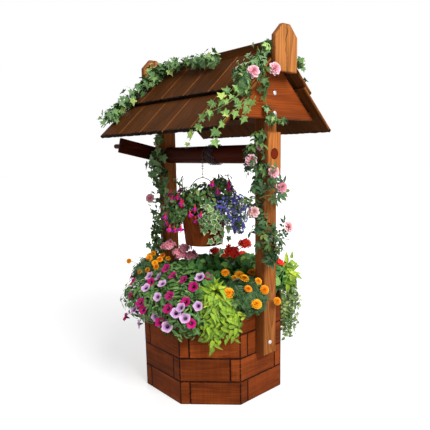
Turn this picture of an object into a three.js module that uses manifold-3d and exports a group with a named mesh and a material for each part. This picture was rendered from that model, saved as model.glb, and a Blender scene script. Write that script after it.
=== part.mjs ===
import * as THREE from "three";
import { mergeVertices } from "three/addons/utils/BufferGeometryUtils.js";
import Module from "manifold-3d";

// A wishing well planter: an octagonal well of stacked boards, two posts that carry a
// boarded gable roof, and a crank windlass whose chain holds a planted tub.
// Millimetres. The origin is the middle of the well on the ground, +X runs along the
// ridge to the near gable, +Z is up. The crank is on the far (-X) side.

const wasm = await Module();
wasm.setup();

// Fits that every piece shares
const seatGap = 0.3;
const shaftClearance = 0.7;
const boltClearance = 0.5;
const overrunLength = 8;
const arrisWidth = 2;

// Well: courses of lapped boards, a floor and the soil
const wellSides = 8;
const wellAcrossFlats = 832;
const courseCount = 4;
const courseHeight = 140;
const wallThickness = 40;
const lapOverlapLength = 0.2;
const jointWidth = 1.6;
const jointDepth = 5;
const floorThickness = 18;
const drainRadius = 10;
const drainRingRadius = 150;
const drainCount = 4;
const soilDrop = 15;

// Posts and the boards on their outer faces
const postWidth = 102;
const postThickness = 66;
const postFootCourse = 2;
const bearingThickness = 30;
const bearingBelowAxle = 119;
const bearingAboveAxle = 113;
const bearingCornerRadius = 16;
const gableThickness = 30;
const gableAboveEave = 52;

// Roof of lapped boards on four battens
const roofPitchAngle = THREE.MathUtils.degToRad(42);
const eaveReach = 433;
const eaveAboveAxle = 127;
const vergeReach = 50.4;
const roofBoardThickness = 18;
const roofBoardGap = 2;
const roofArrisWidth = 1.5;
const lowerCourseLength = 330;
const lapLength = 270;
const lowerBoardCount = 5;
const upperBoardWidth = 215;
const upperFirstWidth = 183;
const battenWidth = 45;
const battenThickness = 12;
const eaveBattenReach = 150;
const lapBattenReach = 300;
const ridgeThickness = 40;
const ridgeHeight = 140;
const ridgeRise = 46;

// Pointed picket on each end of the ridge
const picketThickness = 25;
const picketHalfWidth = 85.5;
const picketTopHalfWidth = 28;
const picketLength = 228;
const picketPointHeight = 58;
const picketRise = 61.8;

// Carriage bolts
const boltRadius = 5;
const boltHeadRadius = 13;
const boltHeadHeight = 7;
const washerRadius = 13;
const washerThickness = 2.5;
const nutRadius = 9.5;
const nutThickness = 8;
const boltEndLength = 5;
const boltDomeSteps = 4;
const footBoltHeight = 350;
const gableBoltRises = [29, 131];

// Windlass: roller with turned journals, crank arm and peg
const axleHeight = 1410;
const rollerRadius = 52;
const rollerEndGap = 3;
const rollerChamferWidth = 4;
const journalRadius = 28.5;
const armWidth = 93;
const armThickness = 20;
const armReach = 325;
const armGap = 3;
const armLiftAngle = THREE.MathUtils.degToRad(12.5);
const pegEdgeLength = 27;
const pegRadius = 15;
const pegLength = 106;
const pegTipRadius = 5;

// Chain: a winding on the roller and the links that hang from it
const windingTurns = 6;
const windingPitch = 13;
const windingRadius = 4.5;
const windingSides = 6;
const windingStepsPerTurn = 24;
const windingStartGap = 12;
const linkWireRadius = 1.6;
const linkLength = 22;
const linkWidth = 12.5;
const linkContact = 0.5;

// Tub and its wire bail
const hangOffset = -9;
const tubHeight = 190;
const tubBottomRadius = 115;
const tubTopRadius = 135;
const tubWall = 14;
const tubFloor = 16;
const tubFootRadius = 7;
const tubRimRadius = 3;
const tubSoilDrop = 32;
const earDrop = 18;
const bailWireRadius = 2.5;
const bailSideGap = 1.2;
const bailHeight = 405.5;
const chainDropLength = 136.5;
const bailTiltAngle = THREE.MathUtils.degToRad(6);
const bailMargin = 5;

// Soft plant masses
const plantGap = 0.5;
const tubRoomMargin = 12;
const climberRadius = 58;
const farClimberRadius = 50;
const roseRadius = 72;
const lobeAround = 10;
const lobeRings = 6;
const climberAround = 8;
const climberRings = 4;
const climberSpacing_share = 0.95;
const climberSwell_share = 0.16;

// Round pieces: how many flat sides each has
const shaftSides = 24;
const boltSides = 10;
const tubSides = 32;
const wireSides = 6;
const linkSteps = 10;
const archSteps = 40;

// Sizes that follow from the driving ones
const eaveHeight = axleHeight + eaveAboveAxle;
const bearingBottom = axleHeight - bearingBelowAxle;
const bearingTop = axleHeight + bearingAboveAxle;
const gableBottom = eaveHeight + gableAboveEave;
const gableBoltHeights = gableBoltRises.map((rise) => gableBottom + rise);
const bailTopCentre = axleHeight - chainDropLength;
const tubBottom = bailTopCentre - bailHeight;
const wellApothem = wellAcrossFlats / 2;
const wallTurn = (2 * Math.PI) / wellSides;
const wallSide = wellAcrossFlats * Math.tan(wallTurn / 2);
const wellHeight = courseCount * courseHeight;
const innerApothem = wellApothem - wallThickness;
const soilTop = wellHeight - soilDrop;
const postInner = wellApothem + seatGap;
const postOuter = postInner + postThickness;
const endBoardInner = postOuter + seatGap;
const gableOuter = endBoardInner + gableThickness;
const bearingOuter = endBoardInner + bearingThickness;
const roofHalfLength = gableOuter + vergeReach;
const shaftHole = (journalRadius + shaftClearance) / Math.cos(Math.PI / shaftSides);
const boltHole = (boltRadius + boltClearance) / Math.cos(Math.PI / boltSides);
const battenDepth = roofBoardThickness + battenThickness + 2 * seatGap;
const ridgeSide = ridgeThickness / 2 + seatGap;
const linkPitch = linkLength - 4 * linkWireRadius + linkContact;
const hangY = -(rollerRadius + seatGap + linkWidth / 2);
const earHeight = tubBottom + tubHeight - earDrop;
const tubRadiusAt = (z) =>
  THREE.MathUtils.lerp(tubBottomRadius, tubTopRadius, (z - tubBottom) / tubHeight);
const bailRadius = tubTopRadius + bailSideGap + bailWireRadius;
const bailArchBase = bailTopCentre - bailRadius;

// A point of the roof's section: along the slope from the eave corner, and above or
// below the top face of the lower boards; side is +1 or -1 for the two slopes
const slopePoint = (side, along, above) =>
  new THREE.Vector2(
    side * (eaveReach - along * Math.cos(roofPitchAngle) + above * Math.sin(roofPitchAngle)),
    eaveHeight + along * Math.sin(roofPitchAngle) + above * Math.cos(roofPitchAngle),
  );
const alongAtReach = (reach, above) =>
  (eaveReach + above * Math.sin(roofPitchAngle) - reach) / Math.cos(roofPitchAngle);
const alongAtHeight = (height, above) =>
  (height - eaveHeight - above * Math.cos(roofPitchAngle)) / Math.sin(roofPitchAngle);
const upperTop = roofBoardThickness + seatGap;
const ridgeTop = slopePoint(1, alongAtReach(ridgeSide, upperTop), upperTop).y + ridgeRise;
const ridgeBottom = ridgeTop - ridgeHeight;
const picketTop = ridgeTop + picketRise;
const picketBottom = picketTop - picketLength;
const picketShoulder = picketTop - picketPointHeight;

// Materials
const finish = (color, roughness, metalness = 0) =>
  new THREE.MeshStandardMaterial({ color, roughness, metalness });
const wallWood = finish(0x7a3a18, 0.6);
const postWood = finish(0xae6c30, 0.58);
const endWood = finish(0x9a4f20, 0.58);
const picketWood = finish(0xc07c3e, 0.6);
const roofWood = finish(0x4e2c16, 0.7);
const windlassWood = finish(0x3a1408, 0.55);
const tubWood = finish(0x7d3e18, 0.65);
const boltSteel = finish(0xb9bcc0, 0.3, 1);
const chainSteel = finish(0x3c3a38, 0.45, 1);
const soilMaterial = finish(0x2b1c12, 0.95);
const leafGreen = finish(0x3f6a2c, 0.8);
const roseGreen = finish(0x37582c, 0.8);

// Solids from closed geometries, for joining and cutting
function toSolid(geometry) {
  const bare = geometry.clone();
  bare.deleteAttribute("normal");
  bare.deleteAttribute("uv");
  const merged = mergeVertices(bare);
  const triVerts = Uint32Array.from(merged.index.array);
  const vertProperties = Float32Array.from(merged.attributes.position.array);
  return new wasm.Manifold(new wasm.Mesh({ numProp: 3, vertProperties, triVerts }));
}

function toGeometry(solid) {
  const mesh = solid.getMesh();
  const geometry = new THREE.BufferGeometry();
  const positions = Float32Array.from(mesh.vertProperties);
  geometry.setAttribute("position", new THREE.BufferAttribute(positions, 3));
  geometry.setIndex(new THREE.BufferAttribute(Uint32Array.from(mesh.triVerts), 1));
  geometry.computeVertexNormals();
  return geometry;
}

const joined = (solids) => solids.reduce((whole, piece) => whole.add(piece));

function largest(solid) {
  const pieces = solid.decompose();
  return pieces.reduce((best, piece) => (piece.volume() > best.volume() ? piece : best));
}

// Outlines
const outlineOf = (points) => new THREE.Shape(points.map(([x, y]) => new THREE.Vector2(x, y)));

const rectangle = (left, bottom, right, top) =>
  outlineOf([
    [left, bottom],
    [right, bottom],
    [right, top],
    [left, top],
  ]);

function regularPolygon(apothem, sides) {
  const radius = apothem / Math.cos(Math.PI / sides);
  const corners = Array.from({ length: sides }, (_, i) => {
    const angle = ((2 * i + 1) * Math.PI) / sides;
    return [radius * Math.cos(angle), radius * Math.sin(angle)];
  });
  return outlineOf(corners);
}

function roundHole(x, y, radius, sides) {
  const hole = new THREE.Path();
  const corners = Array.from({ length: sides }, (_, i) => {
    const angle = (-2 * Math.PI * i) / sides;
    return new THREE.Vector2(x + radius * Math.cos(angle), y + radius * Math.sin(angle));
  });
  return hole.setFromPoints(corners);
}

// A board with eased edges, cut from an outline, from z = 0 up
function easedBoard(outline, thickness, ease) {
  return new THREE.ExtrudeGeometry(outline, {
    depth: thickness - 2 * ease,
    bevelEnabled: true,
    bevelSize: ease,
    bevelThickness: ease,
    bevelOffset: -ease,
    bevelSegments: 1,
    curveSegments: 6,
  }).translate(0, 0, ease);
}

const plain = (outline, thickness) =>
  new THREE.ExtrudeGeometry(outline, { depth: thickness, bevelEnabled: false, curveSegments: 12 });

// Stands a piece whose outline is drawn in (y, z) across the ridge, with its thickness along +X
const acrossRidge = (geometry) =>
  geometry.applyMatrix4(
    new THREE.Matrix4().makeBasis(
      new THREE.Vector3(0, 1, 0),
      new THREE.Vector3(0, 0, 1),
      new THREE.Vector3(1, 0, 0),
    ),
  );

// A turned solid from (radius, height) points; the axis is then laid along X or Z
const turned = (points, sides) =>
  new THREE.LatheGeometry(
    points.map(([radius, height]) => new THREE.Vector2(radius, height)),
    sides,
  );
const alongX = (geometry) => geometry.rotateZ(-Math.PI / 2);
const alongZ = (geometry) => geometry.rotateX(Math.PI / 2);

const rodAlongX = (radius, length, sides) =>
  new THREE.CylinderGeometry(radius, radius, length, sides).rotateZ(-Math.PI / 2);

// The assembly
const planter = new THREE.Group();

function place(name, geometry, material, parent = planter) {
  const mesh = new THREE.Mesh(geometry, material);
  mesh.name = name;
  parent.add(mesh);
  return mesh;
}

const ends = [
  { label: "near", sign: 1 },
  { label: "far", sign: -1 },
];
const slopes = [
  { label: "left", side: -1 },
  { label: "right", side: 1 },
];

// Sets a plate that is square to X on its inner face at the given distance from the middle
function placeOnEnd(name, plate, inner, thickness, material, sign) {
  const mesh = place(name, plate, material);
  mesh.position.x = sign > 0 ? inner : -inner - thickness;
  return mesh;
}

// Well: each course is eight boards, nailed at laps that turn the other way in the next course
function wallBoardOutline(mirrored) {
  const lap = wallThickness / Math.sin(wallTurn);
  const skew = wallThickness / Math.tan(wallTurn);
  const corners = [
    [wellApothem, -wallSide / 2 + lap - lapOverlapLength],
    [wellApothem, wallSide / 2],
    [innerApothem, wallSide / 2 + skew],
    [innerApothem, -wallSide / 2 + lap - skew - lapOverlapLength],
  ];
  return outlineOf(mirrored ? corners.map(([x, y]) => [x, -y]).reverse() : corners);
}

function wallJointCut(mirrored) {
  const lap = wallThickness / Math.sin(wallTurn);
  const cut = new THREE.BoxGeometry(2 * jointDepth, jointWidth, courseHeight + overrunLength);
  cut.rotateZ(mirrored ? -wallTurn : wallTurn);
  const along = -wallSide / 2 + lap;
  return cut.translate(wellApothem, mirrored ? -along : along, courseHeight / 2);
}

function wallCourse(index) {
  const mirrored = index % 2 === 1;
  const height = courseHeight - seatGap;
  const board = toSolid(easedBoard(wallBoardOutline(mirrored), height, arrisWidth));
  const cut = toSolid(wallJointCut(mirrored));
  const turns = Array.from({ length: wellSides }, (_, i) => [0, 0, (360 * i) / wellSides]);
  const ring = joined(turns.map((turn) => board.rotate(turn)));
  return turns.reduce((rest, turn) => rest.subtract(cut.rotate(turn)), ring);
}

const footBolt = toSolid(
  rodAlongX(boltHole, 2 * (wellApothem + overrunLength), boltSides).translate(0, 0, footBoltHeight),
);
for (let index = 0; index < courseCount; index += 1) {
  const bottom = index * courseHeight;
  let course = wallCourse(index).translate([0, 0, bottom]);
  if (footBoltHeight > bottom && footBoltHeight < bottom + courseHeight)
    course = course.subtract(footBolt);
  place(`wall_course_${index + 1}`, toGeometry(course), wallWood);
}

// Floor panel with drain holes, flush with the bottom of the first course
const floorOutline = regularPolygon(innerApothem - seatGap, wellSides);
for (let i = 0; i < drainCount; i += 1) {
  const angle = (2 * Math.PI * (i + 1 / 2)) / drainCount;
  const x = drainRingRadius * Math.cos(angle);
  const y = drainRingRadius * Math.sin(angle);
  floorOutline.holes.push(roundHole(x, y, drainRadius, boltSides));
}
place("floor_panel", plain(floorOutline, floorThickness), wallWood);

// Soil, with pockets round the foot bolts' washers and nuts
const soilHeight = soilTop - floorThickness - seatGap;
const nutPocketLength = washerThickness + nutThickness + boltEndLength + 2 * seatGap;
const nutPocket = toSolid(
  rodAlongX(washerRadius + boltClearance, nutPocketLength + overrunLength, boltSides),
);
const pocketX = innerApothem - nutPocketLength + (nutPocketLength + overrunLength) / 2;
const soil = [pocketX, -pocketX].reduce(
  (rest, x) => rest.subtract(nutPocket.translate([x, 0, footBoltHeight])),
  toSolid(
    plain(regularPolygon(innerApothem - seatGap, wellSides), soilHeight).translate(
      0,
      0,
      floorThickness + seatGap,
    ),
  ),
);
place("soil_bed", toGeometry(soil), soilMaterial);

// Posts: their feet stand on the ledge height of the second course, against the wall
const postBottom = postFootCourse * courseHeight;
const postTop = ridgeBottom - seatGap;
const postOutline = rectangle(-postWidth / 2, postBottom, postWidth / 2, postTop);
postOutline.holes.push(
  roundHole(0, axleHeight, shaftHole, shaftSides),
  ...[footBoltHeight, ...gableBoltHeights].map((z) => roundHole(0, z, boltHole, boltSides)),
);

// Bearing boards with rounded lower corners
const bearingOutline = new THREE.Shape()
  .moveTo(-postWidth / 2 + bearingCornerRadius, bearingBottom)
  .lineTo(postWidth / 2 - bearingCornerRadius, bearingBottom)
  .absarc(
    postWidth / 2 - bearingCornerRadius,
    bearingBottom + bearingCornerRadius,
    bearingCornerRadius,
    -Math.PI / 2,
    0,
  )
  .lineTo(postWidth / 2, bearingTop)
  .lineTo(-postWidth / 2, bearingTop)
  .absarc(
    -postWidth / 2 + bearingCornerRadius,
    bearingBottom + bearingCornerRadius,
    bearingCornerRadius,
    Math.PI,
    (3 * Math.PI) / 2,
  );
bearingOutline.holes.push(roundHole(0, axleHeight, shaftHole, shaftSides));

// Gable boards: their sloping edges carry the battens and their flat top the ridge board
const gableTop = ridgeBottom - seatGap;
const gablePoints = [
  slopePoint(1, alongAtHeight(gableBottom, -battenDepth), -battenDepth),
  slopePoint(1, alongAtHeight(gableTop, -battenDepth), -battenDepth),
  slopePoint(-1, alongAtHeight(gableTop, -battenDepth), -battenDepth),
  slopePoint(-1, alongAtHeight(gableBottom, -battenDepth), -battenDepth),
];
const gableOutline = new THREE.Shape(gablePoints);
gableOutline.holes.push(...gableBoltHeights.map((z) => roundHole(0, z, boltHole, boltSides)));

// Pickets: square shoulders and a cut-off point
const picketOutline = outlineOf([
  [-picketHalfWidth, picketBottom],
  [picketHalfWidth, picketBottom],
  [picketHalfWidth, picketShoulder],
  [picketTopHalfWidth, picketTop],
  [-picketTopHalfWidth, picketTop],
  [-picketHalfWidth, picketShoulder],
]);

const endPlates = [
  ["post", postOutline, postInner, postThickness, postWood],
  ["bearing_board", bearingOutline, endBoardInner, bearingThickness, postWood],
  ["gable_board", gableOutline, endBoardInner, gableThickness, endWood],
  ["picket", picketOutline, roofHalfLength + seatGap, picketThickness, picketWood],
];
for (const { label, sign } of ends) {
  for (const [name, outline, inner, thickness, material] of endPlates) {
    const plate = acrossRidge(easedBoard(outline, thickness, arrisWidth));
    placeOnEnd(`${name}_${label}`, plate, inner, thickness, material, sign);
  }
}

// Carriage bolts: domed head outside, washer and nut inside
function carriageBolt(grip) {
  const dome = Array.from({ length: boltDomeSteps }, (_, i) => {
    const angle = (i * Math.PI) / 2 / boltDomeSteps;
    return [boltHeadRadius * Math.cos(angle), seatGap + boltHeadHeight * Math.sin(angle)];
  });
  const washerTop = -grip - seatGap;
  const nutTop = washerTop - washerThickness;
  const profile = [
    [0, nutTop - nutThickness - boltEndLength],
    [boltRadius, nutTop - nutThickness - boltEndLength],
    [boltRadius, nutTop],
    [washerRadius, nutTop],
    [washerRadius, washerTop],
    [boltRadius, washerTop],
    [boltRadius, seatGap],
    ...dome,
    [0, seatGap + boltHeadHeight],
  ];
  const nut = new THREE.CylinderGeometry(nutRadius, nutRadius, nutThickness, 6);
  nut.translate(0, nutTop - nutThickness / 2, 0);
  return alongX(toGeometry(toSolid(turned(profile, boltSides)).add(toSolid(nut))));
}

const gableGrip = gableOuter - postInner;
const footGrip = postOuter - innerApothem;
const boltSeats = [
  ["foot_bolt", footBoltHeight, postOuter, footGrip],
  ["gable_bolt_lower", gableBoltHeights[0], gableOuter, gableGrip],
  ["gable_bolt_upper", gableBoltHeights[1], gableOuter, gableGrip],
];
for (const { label, sign } of ends) {
  for (const [name, height, face, grip] of boltSeats) {
    const bolt = place(`${name}_${label}`, carriageBolt(grip), boltSteel);
    bolt.position.set(sign * face, 0, height);
    bolt.rotation.z = sign > 0 ? 0 : Math.PI;
  }
}

// Roof: battens along the ridge, then lapped boards that run up each slope
function slopeOutline(side, from, to, below, above) {
  const corners = [
    slopePoint(side, from, below),
    slopePoint(side, from, above),
    slopePoint(side, to, above),
    slopePoint(side, to, below),
  ];
  return new THREE.Shape(corners);
}

const lowerOutline = (side) => slopeOutline(side, 0, lowerCourseLength, -roofBoardThickness, 0);

// The upper boards end in a plumb cut against the ridge board
function upperOutline(side) {
  return new THREE.Shape([
    slopePoint(side, lapLength, seatGap),
    slopePoint(side, lapLength, upperTop),
    slopePoint(side, alongAtReach(ridgeSide, upperTop), upperTop),
    slopePoint(side, alongAtReach(ridgeSide, seatGap), seatGap),
  ]);
}

const lowerJoints = Array.from(
  { length: lowerBoardCount + 1 },
  (_, i) => -roofHalfLength + (2 * roofHalfLength * i) / lowerBoardCount,
);
const upperJoints = [-roofHalfLength, -roofHalfLength + upperFirstWidth];
while (upperJoints.at(-1) + upperBoardWidth < roofHalfLength - roofBoardGap)
  upperJoints.push(upperJoints.at(-1) + upperBoardWidth);
upperJoints.push(roofHalfLength);

function placeRoofCourse(name, outline, joints) {
  for (let i = 0; i + 1 < joints.length; i += 1) {
    const start = joints[i] + (i > 0 ? roofBoardGap / 2 : 0);
    const stop = joints[i + 1] - (i + 2 < joints.length ? roofBoardGap / 2 : 0);
    const board = acrossRidge(easedBoard(outline, stop - start, roofArrisWidth));
    place(`${name}_${i + 1}`, board, roofWood).position.x = start;
  }
}

for (const { label, side } of slopes) {
  for (const [name, middle] of [
    ["eave_batten", eaveBattenReach],
    ["lap_batten", lapBattenReach],
  ]) {
    const outline = slopeOutline(
      side,
      middle - battenWidth / 2,
      middle + battenWidth / 2,
      -roofBoardThickness - seatGap - battenThickness,
      -roofBoardThickness - seatGap,
    );
    const batten = acrossRidge(easedBoard(outline, 2 * gableOuter, roofArrisWidth));
    place(`${name}_${label}`, batten, roofWood).position.x = -gableOuter;
  }
  placeRoofCourse(`roof_lower_${label}`, lowerOutline(side), lowerJoints);
  placeRoofCourse(`roof_upper_${label}`, upperOutline(side), upperJoints);
}

const ridgeOutline = rectangle(-ridgeThickness / 2, ridgeBottom, ridgeThickness / 2, ridgeTop);
const ridge = acrossRidge(easedBoard(ridgeOutline, 2 * roofHalfLength, arrisWidth));
place("ridge_board", ridge, roofWood).position.x = -roofHalfLength;

// Windlass: it turns about the axle line, so its pieces share a group there
const windlass = new THREE.Group();
windlass.position.z = axleHeight;
planter.add(windlass);

const rollerHalf = postInner - rollerEndGap;
const armInner = bearingOuter + armGap;
const armOuter = armInner + armThickness;
const rollerProfile = [
  [0, -armOuter],
  [journalRadius, -armOuter],
  [journalRadius, -rollerHalf],
  [rollerRadius - rollerChamferWidth, -rollerHalf],
  [rollerRadius, -rollerHalf + rollerChamferWidth],
  [rollerRadius, rollerHalf - rollerChamferWidth],
  [rollerRadius - rollerChamferWidth, rollerHalf],
  [journalRadius, rollerHalf],
  [journalRadius, bearingOuter],
  [0, bearingOuter],
];
place("axle_roller", alongX(turned(rollerProfile, shaftSides)), windlassWood, windlass);

// Crank: a flat arm with a rounded root, lifted a little above level on the -Y side
const crank = new THREE.Group();
crank.rotation.x = -armLiftAngle;
windlass.add(crank);
const pegReach = armReach - pegEdgeLength;
const armHole = (journalRadius + seatGap) / Math.cos(Math.PI / shaftSides);
const pegHole = (pegRadius + seatGap) / Math.cos(Math.PI / shaftSides);
const armOutline = new THREE.Shape()
  .moveTo(-armReach, -armWidth / 2)
  .lineTo(0, -armWidth / 2)
  .absarc(0, 0, armWidth / 2, -Math.PI / 2, Math.PI / 2)
  .lineTo(-armReach, armWidth / 2);
armOutline.holes.push(
  roundHole(0, 0, armHole, shaftSides),
  roundHole(-pegReach, 0, pegHole, shaftSides),
);
const arm = acrossRidge(easedBoard(armOutline, armThickness, arrisWidth));
place("crank_arm", arm, windlassWood, crank).position.x = -armOuter;

const pegProfile = [
  [0, 0],
  [pegRadius - pegTipRadius, 0],
  [pegRadius, pegTipRadius],
  [pegRadius, pegLength],
  [0, pegLength],
];
const peg = place("crank_peg", alongX(turned(pegProfile, shaftSides)), windlassWood, crank);
peg.position.set(-armInner - pegLength, -pegReach, 0);

// Chain winding: one unbroken tube in a helix on the roller, beside the hanging links
class Winding extends THREE.Curve {
  getPoint(t, target = new THREE.Vector3()) {
    const turn = t * windingTurns;
    const angle = 2 * Math.PI * turn;
    const seated = rollerRadius + seatGap + windingRadius;
    const radius = seated / Math.cos(Math.PI / windingStepsPerTurn);
    const x = hangOffset + windingStartGap + windingPitch * turn;
    return target.set(x, -radius * Math.cos(angle), radius * Math.sin(angle));
  }
}

const windingPath = new Winding();
const windingSection = outlineOf(
  Array.from({ length: windingSides }, (_, i) => {
    const angle = (2 * Math.PI * i) / windingSides;
    return [windingRadius * Math.cos(angle), windingRadius * Math.sin(angle)];
  }),
);
const winding = new THREE.ExtrudeGeometry(windingSection, {
  steps: windingTurns * windingStepsPerTurn,
  extrudePath: windingPath,
  bevelEnabled: false,
});
place("chain_winding", winding, chainSteel, windlass);

// Least gap between two turns of the winding, measured centre to centre on points
function leastWindingGap() {
  const count = windingTurns * windingStepsPerTurn;
  const points = windingPath.getSpacedPoints(count);
  let least = Infinity;
  for (let i = 0; i <= count; i += 1)
    for (let j = i + windingStepsPerTurn / 2; j <= count; j += 1)
      least = Math.min(least, points[i].distanceTo(points[j]));
  return least - 2 * windingRadius;
}
console.log(`least gap in the chain winding: ${leastWindingGap().toFixed(2)} mm`);

// Hanging chain: stretched rings, each a quarter turn from the last, down to the bail
function chainLink() {
  const bend = linkWidth / 2 - linkWireRadius;
  const stretch = linkLength / 2 - linkWireRadius - bend;
  const link = new THREE.TorusGeometry(bend, linkWireRadius, wireSides, linkSteps).rotateZ(Math.PI / 2);
  const position = link.attributes.position;
  for (let i = 0; i < position.count; i += 1) {
    const y = position.getY(i);
    position.setY(i, y + Math.sign(y) * stretch);
  }
  return toSolid(link.rotateX(Math.PI / 2));
}

// The lowest link holds the bail's wire from below and lies in the YZ plane
const lowestLink = bailTopCentre - bailWireRadius - seatGap - 2 * linkWireRadius + linkLength / 2;
const linkCount = Math.floor((axleHeight - lowestLink) / linkPitch) + 1;
const link = chainLink();
const links = Array.from({ length: linkCount }, (_, i) =>
  link
    .rotate([0, 0, i % 2 === 0 ? 90 : 0])
    .translate([hangOffset, hangY, lowestLink + i * linkPitch]),
);
place("chain_drop", toGeometry(joined(links)), chainSteel);

// Tub: turned outside and in, with two blind holes for the bail's ends
const tub = new THREE.Group();
tub.position.set(hangOffset, hangY, 0);
planter.add(tub);

const tubRim = tubBottom + tubHeight;
const tubOutside = [
  [0, tubBottom],
  [tubBottomRadius - tubFootRadius, tubBottom],
  [tubRadiusAt(tubBottom + tubFootRadius), tubBottom + tubFootRadius],
  [tubTopRadius, tubRim - tubRimRadius],
  [tubTopRadius - tubRimRadius, tubRim],
];
const tubInnerRadiusAt = (z) => tubRadiusAt(z) - tubWall;
const tubProfile = [
  ...tubOutside,
  [tubInnerRadiusAt(tubRim), tubRim],
  [tubInnerRadiusAt(tubBottom + tubFloor), tubBottom + tubFloor],
  [0, tubBottom + tubFloor],
];
const bailEndHole = (bailWireRadius + boltClearance) / Math.cos(Math.PI / wireSides);
const bailEndDepth = tubWall / 2;
const earCuts = [-1, 1].map((sign) =>
  toSolid(rodAlongX(bailEndHole, bailEndDepth + overrunLength, wireSides)).translate([
    sign * (tubRadiusAt(earHeight) - bailEndDepth + (bailEndDepth + overrunLength) / 2),
    0,
    earHeight,
  ]),
);
const tubShell = earCuts.reduce(
  (rest, cut) => rest.subtract(cut),
  toSolid(alongZ(turned(tubProfile, tubSides))),
);
place("tub", toGeometry(tubShell), tubWood, tub);

// Bail: a wire arch with its ends turned into the tub's sides
class Arch extends THREE.Curve {
  getPoint(t, target = new THREE.Vector3()) {
    const leg = bailArchBase - earHeight;
    const arc = Math.PI * bailRadius;
    const run = t * (2 * leg + arc);
    if (run < leg) return target.set(-bailRadius, 0, earHeight + run);
    if (run > leg + arc) return target.set(bailRadius, 0, bailArchBase - (run - leg - arc));
    const angle = Math.PI - (run - leg) / bailRadius;
    return target.set(
      bailRadius * Math.cos(angle),
      0,
      bailArchBase + bailRadius * Math.sin(angle),
    );
  }
}

const wireSection = outlineOf(
  Array.from({ length: wireSides }, (_, i) => {
    const angle = (2 * Math.PI * i) / wireSides;
    return [bailWireRadius * Math.cos(angle), bailWireRadius * Math.sin(angle)];
  }),
);
const hoop = new THREE.ExtrudeGeometry(wireSection, {
  steps: archSteps,
  extrudePath: new Arch(),
  bevelEnabled: false,
});
const endInner = tubRadiusAt(earHeight) - bailEndDepth + seatGap;
const bailEnds = [-1, 1].flatMap((sign) => [
  toSolid(new THREE.SphereGeometry(bailWireRadius, wireSides, wireSides)).translate([
    sign * bailRadius,
    0,
    earHeight,
  ]),
  toSolid(rodAlongX(bailWireRadius, bailRadius - endInner, wireSides)).translate([
    (sign * (bailRadius + endInner)) / 2,
    0,
    earHeight,
  ]),
]);
place("bail", toGeometry(joined([toSolid(hoop), ...bailEnds])), chainSteel, tub);

// Soft masses: rounded lobes joined together, then cut clear of what they grow over
const lobe = ([x, y, z], [rx, ry, rz], around = lobeAround, rings = lobeRings) =>
  toSolid(new THREE.SphereGeometry(1, around, rings).rotateX(Math.PI / 2))
    .scale([rx, ry, rz])
    .translate([x, y, z]);

// Lobes as shares of a unit length, about a middle point
const lobesAbout = (shares, [x0, y0, z0], unit) =>
  shares.map(([x, y, z, rx, ry, rz]) =>
    lobe(
      [x0 + x * unit, y0 + y * unit, z0 + z * unit],
      [rx * unit, ry * unit, rz * unit],
    ),
  );

const blockAcross = (outline, length) =>
  toSolid(acrossRidge(plain(outline, length)).translate(-length / 2, 0, 0));

const postEnvelope = blockAcross(
  rectangle(
    -postWidth / 2 - plantGap,
    postBottom - plantGap,
    postWidth / 2 + plantGap,
    postTop,
  ),
  2 * (postOuter + plantGap),
).subtract(
  blockAcross(rectangle(-postWidth, 0, postWidth, picketTop), 2 * (postInner - plantGap)),
);
const wellEnvelope = toSolid(
  plain(regularPolygon(wellApothem + plantGap, wellSides), wellHeight + seatGap),
);

// Planting of the tub; the shares follow the tub's top radius, from the rim's middle
const tubPlantShares = [
  [0, 0, 0.1, 1.05, 1.05, 0.5],
  [-0.66, -0.74, 0.24, 0.74, 0.74, 0.8],
  [-0.72, -1.08, -0.34, 0.37, 0.37, 0.52],
  [-0.44, -0.44, 0.66, 0.44, 0.44, 0.44],
  [0.62, 0.56, 0.95, 0.6, 0.56, 0.62],
  [1.1, 0.82, 0.1, 0.74, 0.74, 0.8],
  [1.3, 0.93, -0.5, 0.33, 0.33, 0.45],
  [0.9, -0.45, -0.06, 0.5, 0.5, 0.66],
  [1.1, -0.2, -0.7, 0.25, 0.25, 0.5],
];
const tubSoilTop = tubRim - tubSoilDrop;
const windingRoomRadius = rollerRadius + 2 * windingRadius + tubRoomMargin;
const tubPlantEnvelope = toSolid(
  alongZ(
    turned(
      [
        [0, tubBottom - overrunLength],
        [tubBottomRadius + plantGap, tubBottom - overrunLength],
        [tubTopRadius + plantGap, tubRim + seatGap],
        [0, tubRim + seatGap],
      ],
      tubSides,
    ),
  ),
);
const tubRoots = toSolid(
  alongZ(
    turned(
      [
        [0, tubBottom + tubFloor + seatGap],
        [tubInnerRadiusAt(tubBottom + tubFloor) - plantGap, tubBottom + tubFloor + seatGap],
        [tubInnerRadiusAt(tubSoilTop) - plantGap, tubSoilTop],
        [tubInnerRadiusAt(tubSoilTop) - plantGap, tubRim + tubFloor],
        [0, tubRim + tubFloor],
      ],
      tubSides,
    ),
  ),
);

// The space that the bail sweeps as the tub tilts: an arched band that widens upwards
function bailSweep() {
  const outer = bailRadius + bailWireRadius + bailMargin;
  const inner = bailRadius - bailWireRadius - bailMargin;
  const low = earHeight - bailWireRadius - bailMargin;
  const band = new THREE.Shape()
    .moveTo(outer, low)
    .lineTo(outer, bailArchBase)
    .absarc(0, bailArchBase, outer, 0, Math.PI)
    .lineTo(-outer, low)
    .lineTo(-inner, low)
    .lineTo(-inner, bailArchBase)
    .absarc(0, bailArchBase, inner, Math.PI, 0, true)
    .lineTo(inner, low);
  const reach = bailTopCentre + bailMargin - low;
  const halfBase = bailWireRadius + bailMargin;
  const halfTop = halfBase + reach * Math.tan(bailTiltAngle);
  const wedge = outlineOf([
    [-halfBase, low],
    [halfBase, low],
    [halfTop, low + reach],
    [-halfTop, low + reach],
  ]);
  const slab = toSolid(
    plain(band, 2 * halfTop)
      .rotateX(Math.PI / 2)
      .translate(0, halfTop, 0),
  );
  return slab.intersect(blockAcross(wedge, 2 * outer));
}

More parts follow.
